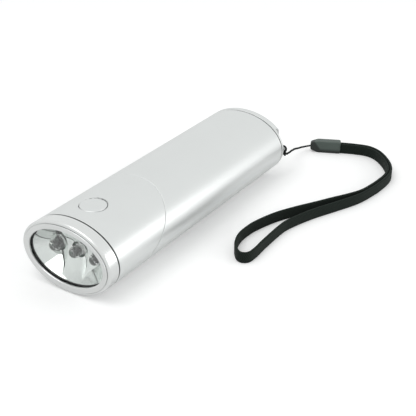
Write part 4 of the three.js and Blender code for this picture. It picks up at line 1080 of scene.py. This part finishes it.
for place, x in (("left", -LAMP_PITCH), ("centre", 0), ("right", LAMP_PITCH)):
    finished(f"led_{place}_body", lamp_shape(x), "head", "lamp_epoxy", [f"led_{place}"], 40, False)
    finished(f"led_{place}_core", lamp_core_shape(x), "head", "dark_plastic", (), 40, False)


# Stage: a pale floor, soft lamps and a plain world

FLOOR_SIZE = 2500
FLOOR_DROP = 0.05
FLOOR_LIFT = 0.2
WORLD_LIGHT = 0.66
WORLD_SEEN_MORE = 0.28
WORLD_CAMERA_MORE = 0.1


def ray(nodes, kind):
    """1 for rays of a kind, and 0 for others."""
    return nodes.node("ShaderNodeLightPath", output=f"Is {kind} Ray")


def seen_directly(nodes):
    """1 for what the camera sees, also in metal or through glass, and 0 for what lights the surfaces."""
    seen = ray(nodes, "Camera").math("MAXIMUM", ray(nodes, "Glossy"))
    return seen.math("MAXIMUM", ray(nodes, "Transmission"))


def floor_material():
    """Pale and matt, and a little brighter to the camera than its light makes it."""
    finish = Finish(
        "floor", Base_Color=(0.92, 0.92, 0.92, 1), Roughness=0.9, Specular_IOR_Level=0.1,
        Emission_Strength=1.0,
    )
    lift = ray(finish, "Camera") * FLOOR_LIFT
    finish.drive("Emission Color", finish.node("ShaderNodeCombineColor", inputs={0: lift, 1: lift, 2: lift}))
    return finish.material


floor_shape = bmesh.new()
bmesh.ops.create_grid(floor_shape, x_segments=1, y_segments=1, size=FLOOR_SIZE)
bmesh.ops.translate(floor_shape, vec=(0, 0, -FLOOR_DROP), verts=floor_shape.verts)
floor = rough_piece(floor_shape, "floor")
floor.data.transform(Matrix.Scale(MM, 4))
floor.data.materials.append(floor_material())


def soft_lamp(name, place, target, width, height, power):
    """A rectangular area lamp, aimed at a target. Places and sizes are in metres, as in the camera."""
    light = bpy.data.lights.new(name, "AREA")
    light.shape = "RECTANGLE"
    light.size = width
    light.size_y = height
    light.energy = power
    lamp = bpy.data.objects.new(name, light)
    lamp.location = place
    lamp.rotation_mode = "QUATERNION"
    lamp.rotation_quaternion = (Vector(target) - Vector(place)).to_track_quat("-Z", "Y")
    bpy.context.scene.collection.objects.link(lamp)


soft_lamp("key_lamp", (-0.14, -0.5, 1.2), (0, 0, 0), 0.9, 0.9, 5)
soft_lamp("side_lamp", (0.95, 0.36, 0.25), (0.02, 0, 0.016), 1.0, 0.5, 3.0)

world = bpy.data.worlds.new("world")
bpy.context.scene.world = world
world.use_nodes = True
world_nodes = Nodes(world.node_tree)
background = world.node_tree.nodes["Background"]
background.inputs["Color"].default_value = (0.985, 1, 0.995, 1)
seen_more = seen_directly(world_nodes) * WORLD_SEEN_MORE
camera_more = ray(world_nodes, "Camera") * WORLD_CAMERA_MORE
strength = seen_more + camera_more + WORLD_LIGHT
world.node_tree.links.new(strength.socket, background.inputs["Strength"])

bpy.context.scene.view_settings.view_transform = "Standard"
